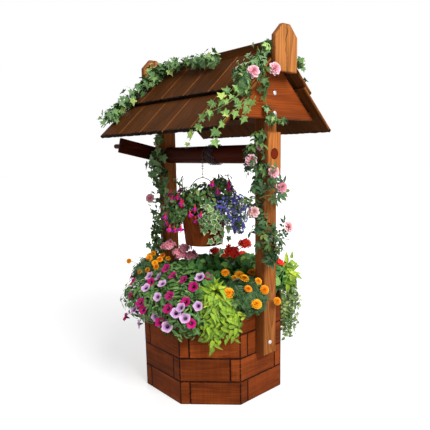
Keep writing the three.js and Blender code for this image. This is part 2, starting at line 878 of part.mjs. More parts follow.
const windingRoom = toSolid(
  rodAlongX(windingRoomRadius, 2 * postInner, shaftSides),
).translate([-hangOffset, -hangY, axleHeight]);
const tubPlants = joined(lobesAbout(tubPlantShares, [0, 0, tubRim], tubTopRadius))
  .subtract(windingRoom)
  .subtract(tubPlantEnvelope)
  .add(tubRoots)
  .subtract(bailSweep());
place("tub_plants", toGeometry(largest(tubPlants)), leafGreen, tub);

// Planting of the well; the shares follow the well's half width, from the rim's middle
const wellPlantShares = [
  [0, 0, 0.03, 0.84, 0.84, 0.46],
  [-0.22, -0.96, 0, 0.58, 0.34, 0.3],
  [0.43, -0.96, -0.03, 0.42, 0.3, 0.32],
  [-0.14, -0.6, 0.22, 0.56, 0.42, 0.27],
  [-0.66, -0.66, 0.3, 0.3, 0.3, 0.23],
  [0.8, -0.77, -0.13, 0.27, 0.27, 0.42],
  [0.96, -0.27, 0.17, 0.3, 0.36, 0.25],
  [0.48, 0.36, 0.22, 0.46, 0.46, 0.29],
  [0.8, 0.8, 0.16, 0.24, 0.24, 0.22],
  [0.84, 0.86, -0.34, 0.12, 0.12, 0.44],
  [-0.36, 0.6, 0.1, 0.55, 0.43, 0.32],
  [0.2, 0.85, 0, 0.5, 0.26, 0.26],
  [-0.85, 0, 0.08, 0.3, 0.5, 0.26],
];
const rootCrown = toSolid(
  plain(
    regularPolygon(innerApothem - plantGap, wellSides),
    soilDrop + wallThickness,
  ).translate(0, 0, soilTop + seatGap),
);
const tubRoomRadius = tubTopRadius + tubRoomMargin;
const tubRoomHeight = tubHeight + 2 * tubRoomMargin;
const tubRoom = toSolid(
  alongZ(new THREE.CylinderGeometry(tubRoomRadius, tubRoomRadius, tubRoomHeight, tubSides)),
)
  .translate([0, 0, tubBottom + tubHeight / 2])
  .add(tubPlants)
  .translate([hangOffset, hangY, 0]);
const wellPlants = joined(
  lobesAbout(wellPlantShares, [0, 0, wellHeight], wellApothem),
)
  .subtract(tubRoom)
  .subtract(wellEnvelope)
  .add(rootCrown)
  .subtract(postEnvelope);
place("well_plants", toGeometry(largest(wellPlants)), leafGreen);

// Climbers; the shares follow the post's width, from the middle of the piece they climb
const roofEnvelope = blockAcross(
  new THREE.Shape([
    slopePoint(1, 0, -roofBoardThickness - plantGap),
    slopePoint(1, -plantGap, plantGap),
    slopePoint(1, lapLength - plantGap, plantGap),
    slopePoint(1, lapLength - plantGap, upperTop + plantGap),
    slopePoint(1, alongAtReach(ridgeSide, upperTop), upperTop + plantGap),
    new THREE.Vector2(ridgeSide + plantGap, ridgeTop + plantGap),
    new THREE.Vector2(-ridgeSide - plantGap, ridgeTop + plantGap),
    slopePoint(-1, alongAtReach(ridgeSide, upperTop), upperTop + plantGap),
    slopePoint(-1, lapLength - plantGap, upperTop + plantGap),
    slopePoint(-1, lapLength - plantGap, plantGap),
    slopePoint(-1, -plantGap, plantGap),
    slopePoint(-1, 0, -roofBoardThickness - plantGap),
  ]),
  2 * (roofHalfLength + plantGap),
);
const picketEnvelope = blockAcross(
  rectangle(
    -picketHalfWidth - plantGap,
    picketBottom - plantGap,
    picketHalfWidth + plantGap,
    picketTop,
  ),
  2 * (roofHalfLength + seatGap + picketThickness + plantGap),
).subtract(
  blockAcross(
    rectangle(-2 * picketHalfWidth, 0, 2 * picketHalfWidth, 2 * picketTop),
    2 * (roofHalfLength + seatGap - plantGap),
  ),
);
const endBoardEnvelope = blockAcross(
  rectangle(
    -postWidth / 2 - plantGap,
    bearingBottom - plantGap,
    postWidth / 2 + plantGap,
    bearingTop + plantGap,
  ),
  2 * (bearingOuter + plantGap),
).subtract(
  blockAcross(rectangle(-postWidth, 0, postWidth, picketTop), 2 * (postInner - plantGap)),
);

const rollerEnvelope = toSolid(
  rodAlongX(rollerRadius + 2 * plantGap, 2 * postInner, shaftSides).translate(0, 0, axleHeight),
);
const clearOfEndPieces = (solid) =>
  [postEnvelope, endBoardEnvelope, rollerEnvelope].reduce(
    (rest, envelope) => rest.subtract(envelope),
    solid,
  );

// A climber: lobes that swell and shrink along the route of its stems
function climber(route, radius) {
  const path = new THREE.CatmullRomCurve3(route);
  const count = Math.ceil(path.getLength() / (climberSpacing_share * radius));
  const lobes = path.getSpacedPoints(count).map(({ x, y, z }, i) => {
    const r = radius * (1 + climberSwell_share * Math.sin(2 * i));
    return lobe([x, y, z], [r, r, r], climberAround, climberRings);
  });
  return joined(lobes);
}

// Climbers of the posts; places are shares of the post's width and of its length over the rim
const postRise = postTop - wellHeight;
const postRoute = (sign, shares) =>
  shares.map(
    ([x, y, height]) =>
      new THREE.Vector3(
        sign * (postInner + postThickness / 2) + x * postWidth,
        y * postWidth,
        wellHeight + height * postRise,
      ),
  );

const nearPostRoute_shares = [
  [0.25, -0.68, 0.232],
  [-0.1, -0.75, 0.366],
  [0.2, -0.72, 0.512],
  [-0.15, -0.75, 0.634],
  [0.15, -0.72, 0.744],
];
const nearVine = climber(postRoute(1, nearPostRoute_shares), climberRadius);
place("post_rose_near", toGeometry(largest(clearOfEndPieces(nearVine))), roseGreen);

// The far ivy keeps inside the crank's path
const farPostRoute_shares = [
  [-0.05, -0.7, 0.232],
  [0.12, -0.74, 0.366],
  [-0.02, -0.72, 0.512],
  [0.12, -0.74, 0.634],
  [0, -0.72, 0.744],
];
const farVine = climber(postRoute(-1, farPostRoute_shares), farClimberRadius);
place("post_ivy_far", toGeometry(largest(clearOfEndPieces(farVine))), leafGreen);

// Climbers of the roof's left slope; places are shares of its half length and of its slope
const slopeLength = alongAtReach(ridgeSide, upperTop);
const roofRoute = (shares) =>
  shares.map(([x, along]) => {
    const point = slopePoint(-1, along * slopeLength, upperTop);
    return new THREE.Vector3(x * roofHalfLength, point.x, point.y);
  });
const roofClimber = (shares, radius) =>
  largest(climber(roofRoute(shares), radius).subtract(roofEnvelope).subtract(picketEnvelope));

const ridgeIvyRoute_shares = [
  [-0.97, 0.03],
  [-0.92, 0.3],
  [-0.86, 0.6],
  [-0.76, 0.86],
  [-0.5, 0.95],
  [-0.2, 0.94],
  [0.08, 0.96],
];
place("ridge_ivy", toGeometry(roofClimber(ridgeIvyRoute_shares, climberRadius)), leafGreen);

const gableRoseRoute_shares = [
  [0.86, 0.98],
  [0.88, 0.8],
  [0.82, 0.55],
  [0.72, 0.3],
  [0.6, 0.06],
];
place("gable_rose", toGeometry(roofClimber(gableRoseRoute_shares, roseRadius)), roseGreen);

export default planter;
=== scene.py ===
import math
from collections import namedtuple

import bpy
import numpy as np
from mathutils import Matrix, Vector


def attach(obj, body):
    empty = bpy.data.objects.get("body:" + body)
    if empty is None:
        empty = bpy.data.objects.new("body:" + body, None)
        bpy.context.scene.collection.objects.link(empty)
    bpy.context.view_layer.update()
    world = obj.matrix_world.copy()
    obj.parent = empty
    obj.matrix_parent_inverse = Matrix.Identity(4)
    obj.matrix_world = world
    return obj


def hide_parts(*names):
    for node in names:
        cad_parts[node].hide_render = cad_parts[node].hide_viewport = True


# The wishing well planter's looks: stained boards, steel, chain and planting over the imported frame.
# Metres; +X runs along the ridge to the near gable, +Z is up.
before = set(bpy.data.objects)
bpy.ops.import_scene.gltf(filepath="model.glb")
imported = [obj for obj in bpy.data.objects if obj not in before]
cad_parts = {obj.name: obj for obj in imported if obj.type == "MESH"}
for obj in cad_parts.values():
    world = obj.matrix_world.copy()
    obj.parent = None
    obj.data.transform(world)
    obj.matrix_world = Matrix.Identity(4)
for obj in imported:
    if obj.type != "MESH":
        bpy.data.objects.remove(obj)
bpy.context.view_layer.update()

MM = 0.001
TOUCH = 1e-4
X, Y, Z = Vector((1, 0, 0)), Vector((0, 1, 0)), Vector((0, 0, 1))

# ---- sizes that the boards share with the frame ----
WELL_APOTHEM = 0.416
WALL_THICKNESS = 0.040
COURSE_HEIGHT = 0.140
SEAT_GAP = 0.0003
WALL_TURN = math.radians(45)
WALL_SIDE = 2 * WELL_APOTHEM * math.tan(WALL_TURN / 2)
WELL_TOP = 4 * COURSE_HEIGHT
POST_WIDTH = 0.102
POST_THICK = 0.066
POST_INNER = 0.4163
POST_OUTER = 0.4823
END_INNER = 0.4826
END_OUTER = 0.5126
END_THICK = 0.030
AXLE_Z = 1.410
BEARING_DROP, BEARING_RISE, BEARING_CORNER = 0.119, 0.113, 0.016
JOURNAL_BORE = 0.0295
BOLT_BORE = 0.0058
ROOF_PITCH = math.radians(42)
RUN, RISE = math.cos(ROOF_PITCH), math.sin(ROOF_PITCH)
EAVE_REACH = 0.433
EAVE_Z = 1.537
ROOF_HALF = 0.563
BOARD_THICK = 0.018
BATTEN_THICK = 0.012
BOARD_GAP = 0.001
LOWER_LENGTH = 0.330
LAP_FROM = 0.270
RIDGE_SIDE = 0.0203
RIDGE_HEIGHT = 0.140
RIDGE_THICK = 0.040
PICKET_THICK = 0.025
PICKET_LENGTH, PICKET_PROUD = 0.228, 0.0618
PICKET_HALF, PICKET_TIP_HALF, SHOULDER = 0.0855, 0.028, 0.058
HANG = Vector((-0.009, -0.05855, 0.0))
TUB_BOTTOM = 0.868
TUB_RIM = 1.058
TUB_FOOT_RADIUS, TUB_RIM_RADIUS = 0.115, 0.135
BAIL_TOP = 1.2735


def linear(red, green, blue):
    """A colour written as on a paint chart, 0 to 255, as the shader's own values."""
    return tuple(
        (c / 255) / 12.92 if c <= 10 else ((c / 255 + 0.055) / 1.055) ** 2.4
        for c in (red, green, blue)
    ) + (1.0,)


# ---- camera at the photograph's place, and lamps ----
def set_camera():
    yaw, pitch, roll = map(math.radians, (138.453, -9.945, -1.078))
    at = Vector((2.170, -1.8993, 1.4193))
    ahead = direction(yaw, pitch)
    level = Vector((math.sin(yaw), -math.cos(yaw), 0))
    upright = level.cross(ahead)
    right = math.cos(roll) * level + math.sin(roll) * upright
    up = -math.sin(roll) * level + math.cos(roll) * upright
    data = bpy.data.cameras.new("view")
    data.lens = 39.12
    data.sensor_width = 36
    data.shift_y = 20 / 430
    camera = bpy.data.objects.new("view", data)
    camera.matrix_world = basis(right, up, -ahead, at)
    bpy.context.scene.collection.objects.link(camera)
    bpy.context.scene.camera = camera


def direction(azimuth, elevation):
    flat = math.cos(elevation)
    return Vector((flat * math.cos(azimuth), flat * math.sin(azimuth), math.sin(elevation)))


def basis(x_axis, y_axis, z_axis, at):
    return Matrix.Translation(at) @ Matrix((x_axis, y_axis, z_axis)).transposed().to_4x4()


def set_lights():
    """Soft round lamps that look at the well's middle."""
    distance, aim = 6.0, Vector((0, 0, 1.0))
    for name, azimuth, elevation, size, power in (
        ("key", -10, 36, 3.0, 372),
        ("back_fill", 150, 30, 4.0, 130),
        ("front_fill", -110, 20, 4.0, 12),
    ):
        data = bpy.data.lights.new(name, "AREA")
        data.shape = "DISK"
        data.size = size
        data.energy = power
        lamp = bpy.data.objects.new(name, data)
        way = direction(math.radians(azimuth), math.radians(elevation))
        turn = way.to_track_quat("Z", "Y").to_matrix().to_4x4()
        lamp.matrix_world = Matrix.Translation(aim + way * distance) @ turn
        bpy.context.scene.collection.objects.link(lamp)


class Finish:
    """A material under construction, with short calls for its nodes. Its slot argument
    is not used."""

    def __init__(self, name, slot=None):
        self.material = bpy.data.materials.new(name)
        self.material.use_nodes = True
        self.tree = self.material.node_tree
        self.shader = self.tree.nodes["Principled BSDF"]

    def node(self, kind, inputs=None, **settings):
        node = self.tree.nodes.new(kind)
        for key, value in settings.items():
            setattr(node, key, value)
        for key, value in (inputs or {}).items():
            self.feed(node.inputs[key], value)
        return node

    def feed(self, socket, value):
        if isinstance(value, bpy.types.NodeSocket):
            self.tree.links.new(value, socket)
        else:
            socket.default_value = value

    def math(self, operation, *values):
        node = self.node("ShaderNodeMath", dict(enumerate(values)), operation=operation)
        return node.outputs[0]

    def times(self, a, b):
        return self.math("MULTIPLY", a, b)

    def plus(self, a, b):
        return self.math("ADD", a, b)

    def minus(self, a, b):
        return self.math("SUBTRACT", a, b)

    def vector(self, operation, *values):
        node = self.node("ShaderNodeVectorMath", dict(enumerate(values)), operation=operation)
        return node.outputs["Value" if operation == "LENGTH" else "Vector"]

    def shaded(self, colour, shade):
        return self.vector("MULTIPLY", colour, self.join(shade, shade, shade))

    def split(self, vector):
        return self.node("ShaderNodeSeparateXYZ", {"Vector": vector}).outputs

    def join(self, x, y, z):
        return self.node("ShaderNodeCombineXYZ", {"X": x, "Y": y, "Z": z}).outputs[0]

    def own_place(self):
        return self.node("ShaderNodeTexCoord").outputs["Object"]

    def noise(self, vector, scale, detail=2.0, roughness=0.5):
        inputs = {"Vector": vector, "Scale": scale, "Detail": detail, "Roughness": roughness}
        return self.node("ShaderNodeTexNoise", inputs).outputs["Fac"]

    def span(self, value, low, high, to_low=0.0, to_high=1.0):
        """The value's run from low to high, eased and laid on a new range."""
        inputs = {0: value, 1: low, 2: high, 3: to_low, 4: to_high}
        return self.node("ShaderNodeMapRange", inputs, interpolation_type="SMOOTHSTEP").outputs[0]

    def mix(self, share, a, b):
        return self.node("ShaderNodeMix", {0: share, 6: a, 7: b}, data_type="RGBA").outputs[2]

    def ramp(self, value, stops):
        """A run of colours, each at its place from 0 to 1."""
        node = self.node("ShaderNodeValToRGB", {"Fac": value})
        elements = node.color_ramp.elements
        elements[0].position, elements[0].color = stops[0]
        elements[1].position, elements[1].color = stops[-1]
        for place, colour in stops[1:-1]:
            elements.new(place).color = colour
        return node.outputs["Color"]

    def trait(self, name, output="Fac"):
        return self.node("ShaderNodeAttribute", attribute_name=name).outputs[output]

    def bump(self, height, strength, distance):
        inputs = {"Height": height, "Strength": strength, "Distance": distance}
        self.feed(self.shader.inputs["Normal"], self.node("ShaderNodeBump", inputs).outputs[0])

    def finish(self, colour, roughness, specular, metallic=0.0):
        for name, value in (
            ("Base Color", colour), ("Roughness", roughness),
            ("Specular IOR Level", specular), ("Metallic", metallic),
        ):
            self.feed(self.shader.inputs[name], value)
        return self.material


def stained_wood(
    name, pale, mid, dark, edge=None, edge_strength=0.8, butt=None, ring=0.007, contrast=1.0,
    knots=0.25, roughness=0.62, specular=0.06, heart=None, kerf=0.0, uneven=1.0, boards=True,
):
    """Stained softwood. Boards carry their own grain place, seed, edge and butt traits;
    without them the grain is read from the object's place instead."""
    pale, mid, dark = (linear(*colour) for colour in (pale, mid, dark))
    f = Finish(name)
    place = f.trait("grain", "Vector") if boards else f.own_place()
    seed = f.trait("seed") if boards else 0.37
    apart = f.join(f.times(seed, 13.1), f.times(seed, 7.7), f.times(seed, 9.3))
    shifted = f.vector("ADD", place, apart)
    x, y, z = f.split(place)
    chance_a = f.math("FRACT", f.times(seed, 17.3))
    chance_b = f.math("FRACT", f.times(seed, 41.9))

    def stretched(along, across, detail=2.0, roughness=0.5):
        """Noise drawn out along the fibres."""
        cells = f.vector("MULTIPLY", shifted, (along, across, across))
        return f.noise(cells, 1.0, detail, roughness)

    # knots, which the rings run round
    cells = f.vector("MULTIPLY", shifted, (2.6, 7.0, 7.0))
    knot = f.node("ShaderNodeTexVoronoi", {"Vector": cells, "Scale": 1.0}).outputs
    has_knot = f.math("LESS_THAN", f.split(knot["Color"])[0], knots)
    near_knot = f.times(f.span(knot["Distance"], 0.42, 0.05), has_knot)
    knot_core = f.times(f.span(knot["Distance"], 0.12, 0.06), has_knot)

    # rings about a pith that lies behind the face and runs a little askew
    askew = f.times(x, f.times(f.minus(chance_a, 0.5), 0.10))
    across = f.plus(f.plus(y, askew), f.times(f.minus(chance_b, 0.5), 0.10))
    depth = f.minus(z, f.plus(0.035, f.times(chance_a, 0.06)))
    depth = f.plus(depth, f.times(x, 0.03))
    radius = f.vector("LENGTH", f.join(0.0, across, depth))
    radius = f.plus(radius, f.times(stretched(1.4, 9.0), 0.030))
    radius = f.plus(radius, f.times(near_knot, 0.018))
    season = f.math("FRACT", f.math("DIVIDE", radius, ring))
    rings = f.ramp(season, [(0.0, pale), (0.5, mid), (0.88, dark), (1.0, pale)])
    base = f.mix(0.55 * contrast, mid, rings)

    # fibres, blotches of stain, each board's own tone, and the saw's marks across the board
    fibre = stretched(7.0, 260.0, 4.0, 0.6)
    streak = stretched(2.2, 55.0, 3.0, 0.6)
    blotch = stretched(2.4, 7.0, 3.0, 0.55)
    marks = stretched(95.0, 5.0, 3.0, 0.6)
    shade = f.times(f.span(fibre, 0.25, 0.75, 0.84, 1.14), f.span(streak, 0.3, 0.7, 0.84, 1.16))
    shade = f.times(shade, f.span(blotch, 0.3, 0.7, 1 - 0.20 * uneven, 1 + 0.18 * uneven))
    shade = f.times(shade, f.span(chance_b, 0.0, 1.0, 0.88, 1.12))
    shade = f.times(shade, f.span(marks, 0.3, 0.7, 1 - kerf, 1 + kerf))
    colour = f.mix(f.times(knot_core, 0.85), f.shaded(base, shade), dark)
    if heart is not None:
        waver = f.span(stretched(11.0, 2.0, 3.0), 0.2, 0.8, -0.012, 0.012)
        line = f.span(f.math("ABSOLUTE", f.minus(y, waver)), 0.0042, 0.0012)
        broken = f.span(stretched(26.0, 4.0), 0.35, 0.55)
        colour = f.mix(f.times(line, broken), colour, linear(*heart))
    # the edge colour tints each board's rim; on the wall boards it is near black, painted shade in
    # the seams and joints between boards
    if edge is not None:
        tone_mask = f.plus(f.trait("edge"), f.span(stretched(30.0, 160.0, 3.0), 0.3, 0.7, -0.35, 0.35))
        colour = f.mix(f.times(f.span(tone_mask, 0.35, 0.95), edge_strength), colour, linear(*edge))
    # butt ends take a colour of their own: sawn end grain on the roller, and on the roof boards near
    # black end grain with painted shade of the lap
    if butt is not None:
        butt_grain_and_lap_shade = f.plus(f.trait("butt"), f.span(stretched(25.0, 60.0, 3.0), 0.3, 0.7, -0.4, 0.4))
        colour = f.mix(f.span(butt_grain_and_lap_shade, 0.35, 0.75), colour, linear(*butt))
    f.bump(f.plus(f.times(fibre, 0.6), f.times(season, 0.4)), 0.35, 0.0009)
    return f.finish(colour, f.span(fibre, 0.2, 0.8, roughness - 0.08, roughness + 0.10), specular)


# ---- modelling calls ----
def object_mode():
    bpy.ops.object.mode_set(mode="OBJECT")


def fresh():
    """Leaves object mode current and nothing selected."""
    if bpy.context.object and bpy.context.object.mode != "OBJECT":
        object_mode()
    bpy.ops.object.select_all(action="DESELECT")


def take(piece):
    """Makes the piece the only one that is selected, and active."""
    fresh()
    piece.select_set(True)
    bpy.context.view_layer.objects.active = piece


def added(name):
    """The primitive that was just added, named, its place and turn taken into its mesh."""
    piece = bpy.context.object
    piece.name = name
    bpy.ops.object.transform_apply(location=True, rotation=True, scale=True)
    return piece


def disc(name, sides, radius, height, x=0.0):
    fresh()
    bpy.ops.mesh.primitive_circle_add(
        vertices=sides, radius=radius, fill_type="NGON", location=(x, 0, height)
    )
    return added(name)


def rod(name, sides, radius, length, at, turn=(0, 0, 0)):
    fresh()
    bpy.ops.mesh.primitive_cylinder_add(
        vertices=sides, radius=radius, depth=length, location=at, rotation=turn
    )
    return added(name)


def select_all():
    bpy.ops.mesh.select_all(action="SELECT")


def edit_all():
    bpy.ops.object.mode_set(mode="EDIT")
    select_all()


def draw_out(x, y, z):
    """Extrudes what is selected."""
    bpy.ops.mesh.extrude_region_move(TRANSFORM_OT_translate={"value": (x, y, z)})


def widen(x, y, z):
    """Scales what is selected about the origin."""
    bpy.ops.transform.resize(value=(x, y, z), center_override=(0, 0, 0))


def ease(offset, segments=2):
    """Rounds the selected edges off."""
    bpy.ops.mesh.bevel(offset=offset, segments=segments, profile=0.5, affect="EDGES")


def cut(at, normal, **more):
    """Cuts everything along a plane."""
    select_all()
    bpy.ops.mesh.bisect(plane_co=at, plane_no=normal, **more)


def turn_outward():
    select_all()
    bpy.ops.mesh.normals_make_consistent(inside=False)


def deselect(*parts):
    for part in parts:
        part.foreach_set("select", [False] * len(part))


def pick_faces(piece, test):
    """Selects the faces whose middle and normal pass the test; ends in edit mode."""
    object_mode()
    mesh = piece.data
    deselect(mesh.vertices, mesh.edges)
    for face in mesh.polygons:
        face.select = test(face.center, face.normal)
    bpy.ops.object.mode_set(mode="EDIT")
    bpy.ops.mesh.select_mode(type="FACE")


def pick_edges(piece, test):
    """Selects the edges whose two ends pass the test; ends in edit mode."""
    object_mode()
    mesh = piece.data
    deselect(mesh.polygons, mesh.vertices)
    for edge in mesh.edges:
        edge.select = all(test(mesh.vertices[i].co) for i in edge.vertices)
    bpy.ops.object.mode_set(mode="EDIT")
    bpy.ops.mesh.select_mode(type="EDGE")


def outline_plate(name, outline, thickness, arris, rim=0.006):
    """A flat board cut to an outline in its XY plane, centred in thickness, with eased
    edges and a rim line inside each broad face."""
    piece = disc(name, len(outline), 1.0, 0.0)
    for vertex, (x, y) in zip(piece.data.vertices, outline):
        vertex.co = (x, y, -thickness / 2)
    edit_all()
    draw_out(0, 0, thickness)
    turn_outward()
    ease(arris)
    flat = thickness / 2 - 1e-5
    pick_faces(piece, lambda middle, normal: abs(middle.z) > flat and abs(normal.z) > 0.99)
    bpy.ops.mesh.inset(thickness=rim, use_individual=True)
    object_mode()
    return piece


def signed_inside(outline, points):
    """How far each point lies inside a convex outline, in its plane."""
    corners = np.array(outline, float)
    ends = np.roll(corners, -1, axis=0)
    area = sum(x0 * y1 - x1 * y0 for (x0, y0), (x1, y1) in zip(corners, ends))
    nearest = np.full(len(points), np.inf)
    for a, b in zip(corners, ends):
        run = (b - a) / np.linalg.norm(b - a)
        inward = np.array((-run[1], run[0])) * (1 if area > 0 else -1)
        nearest = np.minimum(nearest, (points[:, :2] - a) @ inward)
    return nearest


def places_of(mesh):
    co = np.empty(len(mesh.vertices) * 3, np.float32)
    mesh.vertices.foreach_get("co", co)
    return co.reshape(-1, 3)


def put_trait(mesh, name, values):
    values = np.asarray(values, np.float32)
    kind, key = ("FLOAT_VECTOR", "vector") if values.ndim == 2 else ("FLOAT", "value")
    trait = mesh.attributes.get(name) or mesh.attributes.new(name, kind, "POINT")
    trait.data.foreach_set(key, values.ravel())


def grow_grain(piece, seed, outline=None, edge=0.0, butt=0.0, grain=None):
    """Writes the board's grain place (X along the fibres), seed, edge and butt traits."""
    co = places_of(piece.data)
    if outline is not None:
        edge = np.where(signed_inside(outline, co) < 0.0055, 1.0, 0.0)
    put_trait(piece.data, "grain", co if grain is None else grain)
    for name, value in (("seed", seed), ("edge", edge), ("butt", butt)):
        put_trait(piece.data, name, np.broadcast_to(value, len(co)))


def lay(piece, matrix):
    """Moves a finished piece into place in its mesh."""
    piece.data.transform(matrix)
    if matrix.determinant() < 0:
        piece.data.flip_normals()
    piece.data.update()
    return piece


def copy_of(piece, name):
    twin = piece.copy()
    twin.data = piece.data.copy()
    twin.name = name
    bpy.context.scene.collection.objects.link(twin)
    return twin


def join_pieces(pieces, name):
    take(pieces[0])
    for piece in pieces:
        piece.select_set(True)
    if len(pieces) > 1:
        bpy.ops.object.join()
    pieces[0].name = name
    return pieces[0]


def bore(piece, places, radius, depth, sides=48):
    """Bores round holes along Z at the given places of the piece's XY plane."""
    cutters = [rod("cutter", sides, radius, depth, (x, y, 0)) for x, y in places]
    cutter = join_pieces(cutters, "cutter")
    hole = piece.modifiers.new("bore", "BOOLEAN")
    hole.operation = "DIFFERENCE"
    hole.object = cutter
    take(piece)
    bpy.ops.object.modifier_apply(modifier=hole.name)
    bpy.data.objects.remove(cutter)


def settle(piece, body, material, *nodes):
    """Gives a finished piece its material, its body and the nodes that it stands for."""
    piece.data.materials.clear()
    piece.data.materials.append(material)
    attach(piece, body)
    if nodes:
        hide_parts(*nodes)


def mount(piece, matrix, body, material, node, degrees=35):
    """Lays a finished piece in place, smooths it across its blunt edges and settles it."""
    take(lay(piece, matrix))
    bpy.ops.object.shade_smooth_by_angle(angle=math.radians(degrees))
    settle(piece, body, material, node)


def rectangle(length, width):
    x, y = length / 2, width / 2
    return [(-x, -y), (x, -y), (x, y), (-x, y)]


def arc(x, y, radius, start, step, count):
    """Corners of a rounding about a middle, by degrees."""
    angles = [math.radians(start + step * i) for i in range(count)]
    return [(x + radius * math.cos(a), y + radius * math.sin(a)) for a in angles]


set_camera()
set_lights()


# ---- floor and pale background ----
def set_ground():
    fresh()
    bpy.ops.mesh.primitive_plane_add(size=60)
    floor = added("studio_floor")
    f = Finish("studio_floor")
    path = f.node("ShaderNodeLightPath").outputs
    seen = f.math("MAXIMUM", path["Is Camera Ray"], path["Is Glossy Ray"])
    place = f.own_place()
    # the lamps fade with distance, so the paper's own white grows
    far = f.span(f.vector("LENGTH", place), 1.2, 6.0, 0.52, 1.1)
    glow = f.node("ShaderNodeEmission", {"Color": (1, 1, 1, 1), "Strength": f.times(seen, far)})
    shade = f.span(f.noise(place, 40.0), 0.3, 0.7, 0.60, 0.62)
    f.finish(f.join(shade, shade, shade), 0.9, 0.0)
    both = f.node("ShaderNodeAddShader", {0: f.shader.outputs[0], 1: glow.outputs[0]})
    f.feed(f.tree.nodes["Material Output"].inputs["Surface"], both.outputs[0])
    floor.data.materials.append(f.material)


def set_background():
    """White to the camera and in reflections, dimmer where it lights the part."""
    world = bpy.data.worlds.new("studio")
    bpy.context.scene.world = world
    world.use_nodes = True
    tree = world.node_tree
    back = tree.nodes["Background"]
    back.inputs["Color"].default_value = (1, 1, 1, 1)
    path = tree.nodes.new("ShaderNodeLightPath")
    seen = path.outputs["Is Camera Ray"]
    for ray in ("Is Transmission Ray", "Is Glossy Ray"):
        either = tree.nodes.new("ShaderNodeMath")
        either.operation = "MAXIMUM"
        tree.links.new(seen, either.inputs[0])
        tree.links.new(path.outputs[ray], either.inputs[1])
        seen = either.outputs[0]
    level = tree.nodes.new("ShaderNodeMapRange")
    level.inputs["To Min"].default_value = 0.28
    level.inputs["To Max"].default_value = 1.0
    tree.links.new(seen, level.inputs["Value"])
    tree.links.new(level.outputs[0], back.inputs["Strength"])
    bpy.context.scene.view_settings.view_transform = "Standard"


set_ground()
set_background()

# ---- finishes of the timber: pale, mid and dark, then what each has of its own ----
# the wall's near black edge colour is painted shade in the seams and joints between boards
WALL_WOOD = stained_wood(
    "wall_wood", (146, 72, 29), (126, 57, 21), (86, 36, 13), edge=(26, 10, 5), edge_strength=0.92,
    knots=0.18, contrast=0.5, kerf=0.09, uneven=1.9,
)
POST_WOOD = stained_wood(
    "post_wood", (192, 122, 62), (164, 96, 44), (120, 64, 27), edge=(104, 52, 22),
    edge_strength=0.5, knots=0.12, specular=0.08,
)
GABLE_WOOD = stained_wood(
    "gable_wood", (156, 76, 29), (132, 60, 20), (98, 42, 15), edge=(70, 28, 12),
    edge_strength=0.65, knots=0.3, contrast=0.8, ring=0.009, specular=0.08,
)
PICKET_WOOD = stained_wood(
    "picket_wood", (202, 136, 76), (180, 113, 57), (142, 80, 37), edge=(104, 52, 24),
    edge_strength=0.65, knots=0.1, heart=(70, 32, 15), ring=0.010, specular=0.08,
)
# the roof boards' near black butt colour is dark end grain with painted shade of the lapped course
ROOF_WOOD = stained_wood(
    "roof_wood", (104, 60, 27), (82, 46, 18), (56, 28, 11), edge=(154, 94, 44),
    butt=(18, 8, 4), knots=0.12, roughness=0.72, specular=0.04,
)
BATTEN_WOOD = stained_wood("batten_wood", (106, 60, 28), (84, 46, 20), (56, 28, 12), boards=False)
FLOOR_WOOD = stained_wood("floor_wood", (140, 76, 36), (112, 58, 26), (76, 36, 15), boards=False)
WINDLASS_WOOD = stained_wood(
    "windlass_wood", (92, 34, 13), (66, 22, 8), (36, 10, 4), edge=(18, 5, 3), edge_strength=0.7,
    butt=(112, 34, 14), knots=0.1, roughness=0.58,
)
TUB_WOOD = stained_wood(
    "tub_wood", (138, 68, 26), (114, 52, 17), (80, 36, 12), edge=(152, 86, 40), edge_strength=0.5,
    knots=0.0, contrast=0.6, roughness=0.58,
)


# ---- well: four courses of eight lapped boards ----
def wall_board(mirrored):
    """Drawn with X along the board and Y through the wall, its outside face at Y = 0."""
    lap = WALL_THICKNESS / math.sin(WALL_TURN)
    skew = WALL_THICKNESS / math.tan(WALL_TURN)
    flip = -1 if mirrored else 1
    half = WALL_SIDE / 2
    joint = 0.0008
    outline = [
        (-half + lap + joint, 0.0), (half, 0.0), (half + skew, WALL_THICKNESS),
        (-half + lap - skew + joint, WALL_THICKNESS),
    ]
    outline = [(x * flip, y) for x, y in outline]
    board = outline_plate("wall_board", outline, COURSE_HEIGHT - SEAT_GAP, arris=0.0035, rim=0.005)
    # a rim line on the two faces that show as well, where the painted shade of the seams goes
    end_way = Vector((flip, -1, 0)).normalized()
    pick_faces(board, lambda middle, normal: normal.y < -0.99 or normal.dot(end_way) > 0.99)
    bpy.ops.mesh.inset(thickness=0.004, use_individual=True)
    object_mode()
    co = places_of(board.data)
    # distance along the board, carried on round the corner over its lapped end
    along = co[:, 0] * flip
    past = along > half
    along = np.where(past, half + (along - half) / math.cos(WALL_TURN), along)
    # the edge trait marks each face's rim by its seams and joints, where the painted seam shade goes
    clear = np.minimum(COURSE_HEIGHT / 2 - np.abs(co[:, 2]), along + half - lap)
    clear = np.minimum(clear, half + lap - along)
    grain = np.column_stack((along, co[:, 2], np.where(past, 0.0, -co[:, 1])))
    grow_grain(board, 0.5, edge=np.where(clear > 0.0065, 0.0, 1.0), grain=grain)
    return board


def build_wall():
    chance = np.random.default_rng(11)
    patterns = [wall_board(False), wall_board(True)]
    for course in range(4):
        boards = []
        for side in range(8):
            board = copy_of(patterns[course % 2], "wall_board_copy")
            count = len(board.data.vertices)
            put_trait(board.data, "seed", np.full(count, chance.uniform(0, 9)))
            angle = side * WALL_TURN
            outward = Vector((math.cos(angle), math.sin(angle), 0))
            along = Vector((-math.sin(angle), math.cos(angle), 0))
            at = outward * (WELL_APOTHEM + chance.uniform(-0.0008, 0.0004))
            at.z = (course + 0.5) * COURSE_HEIGHT - SEAT_GAP / 2
            boards.append(lay(board, basis(along, -outward, Z, at)))
        wall = join_pieces(boards, f"wall_boards_{course + 1}")
        mount(wall, Matrix(), "well", WALL_WOOD, f"wall_course_{course + 1}", 50)
    for pattern in patterns:
        bpy.data.objects.remove(pattern)


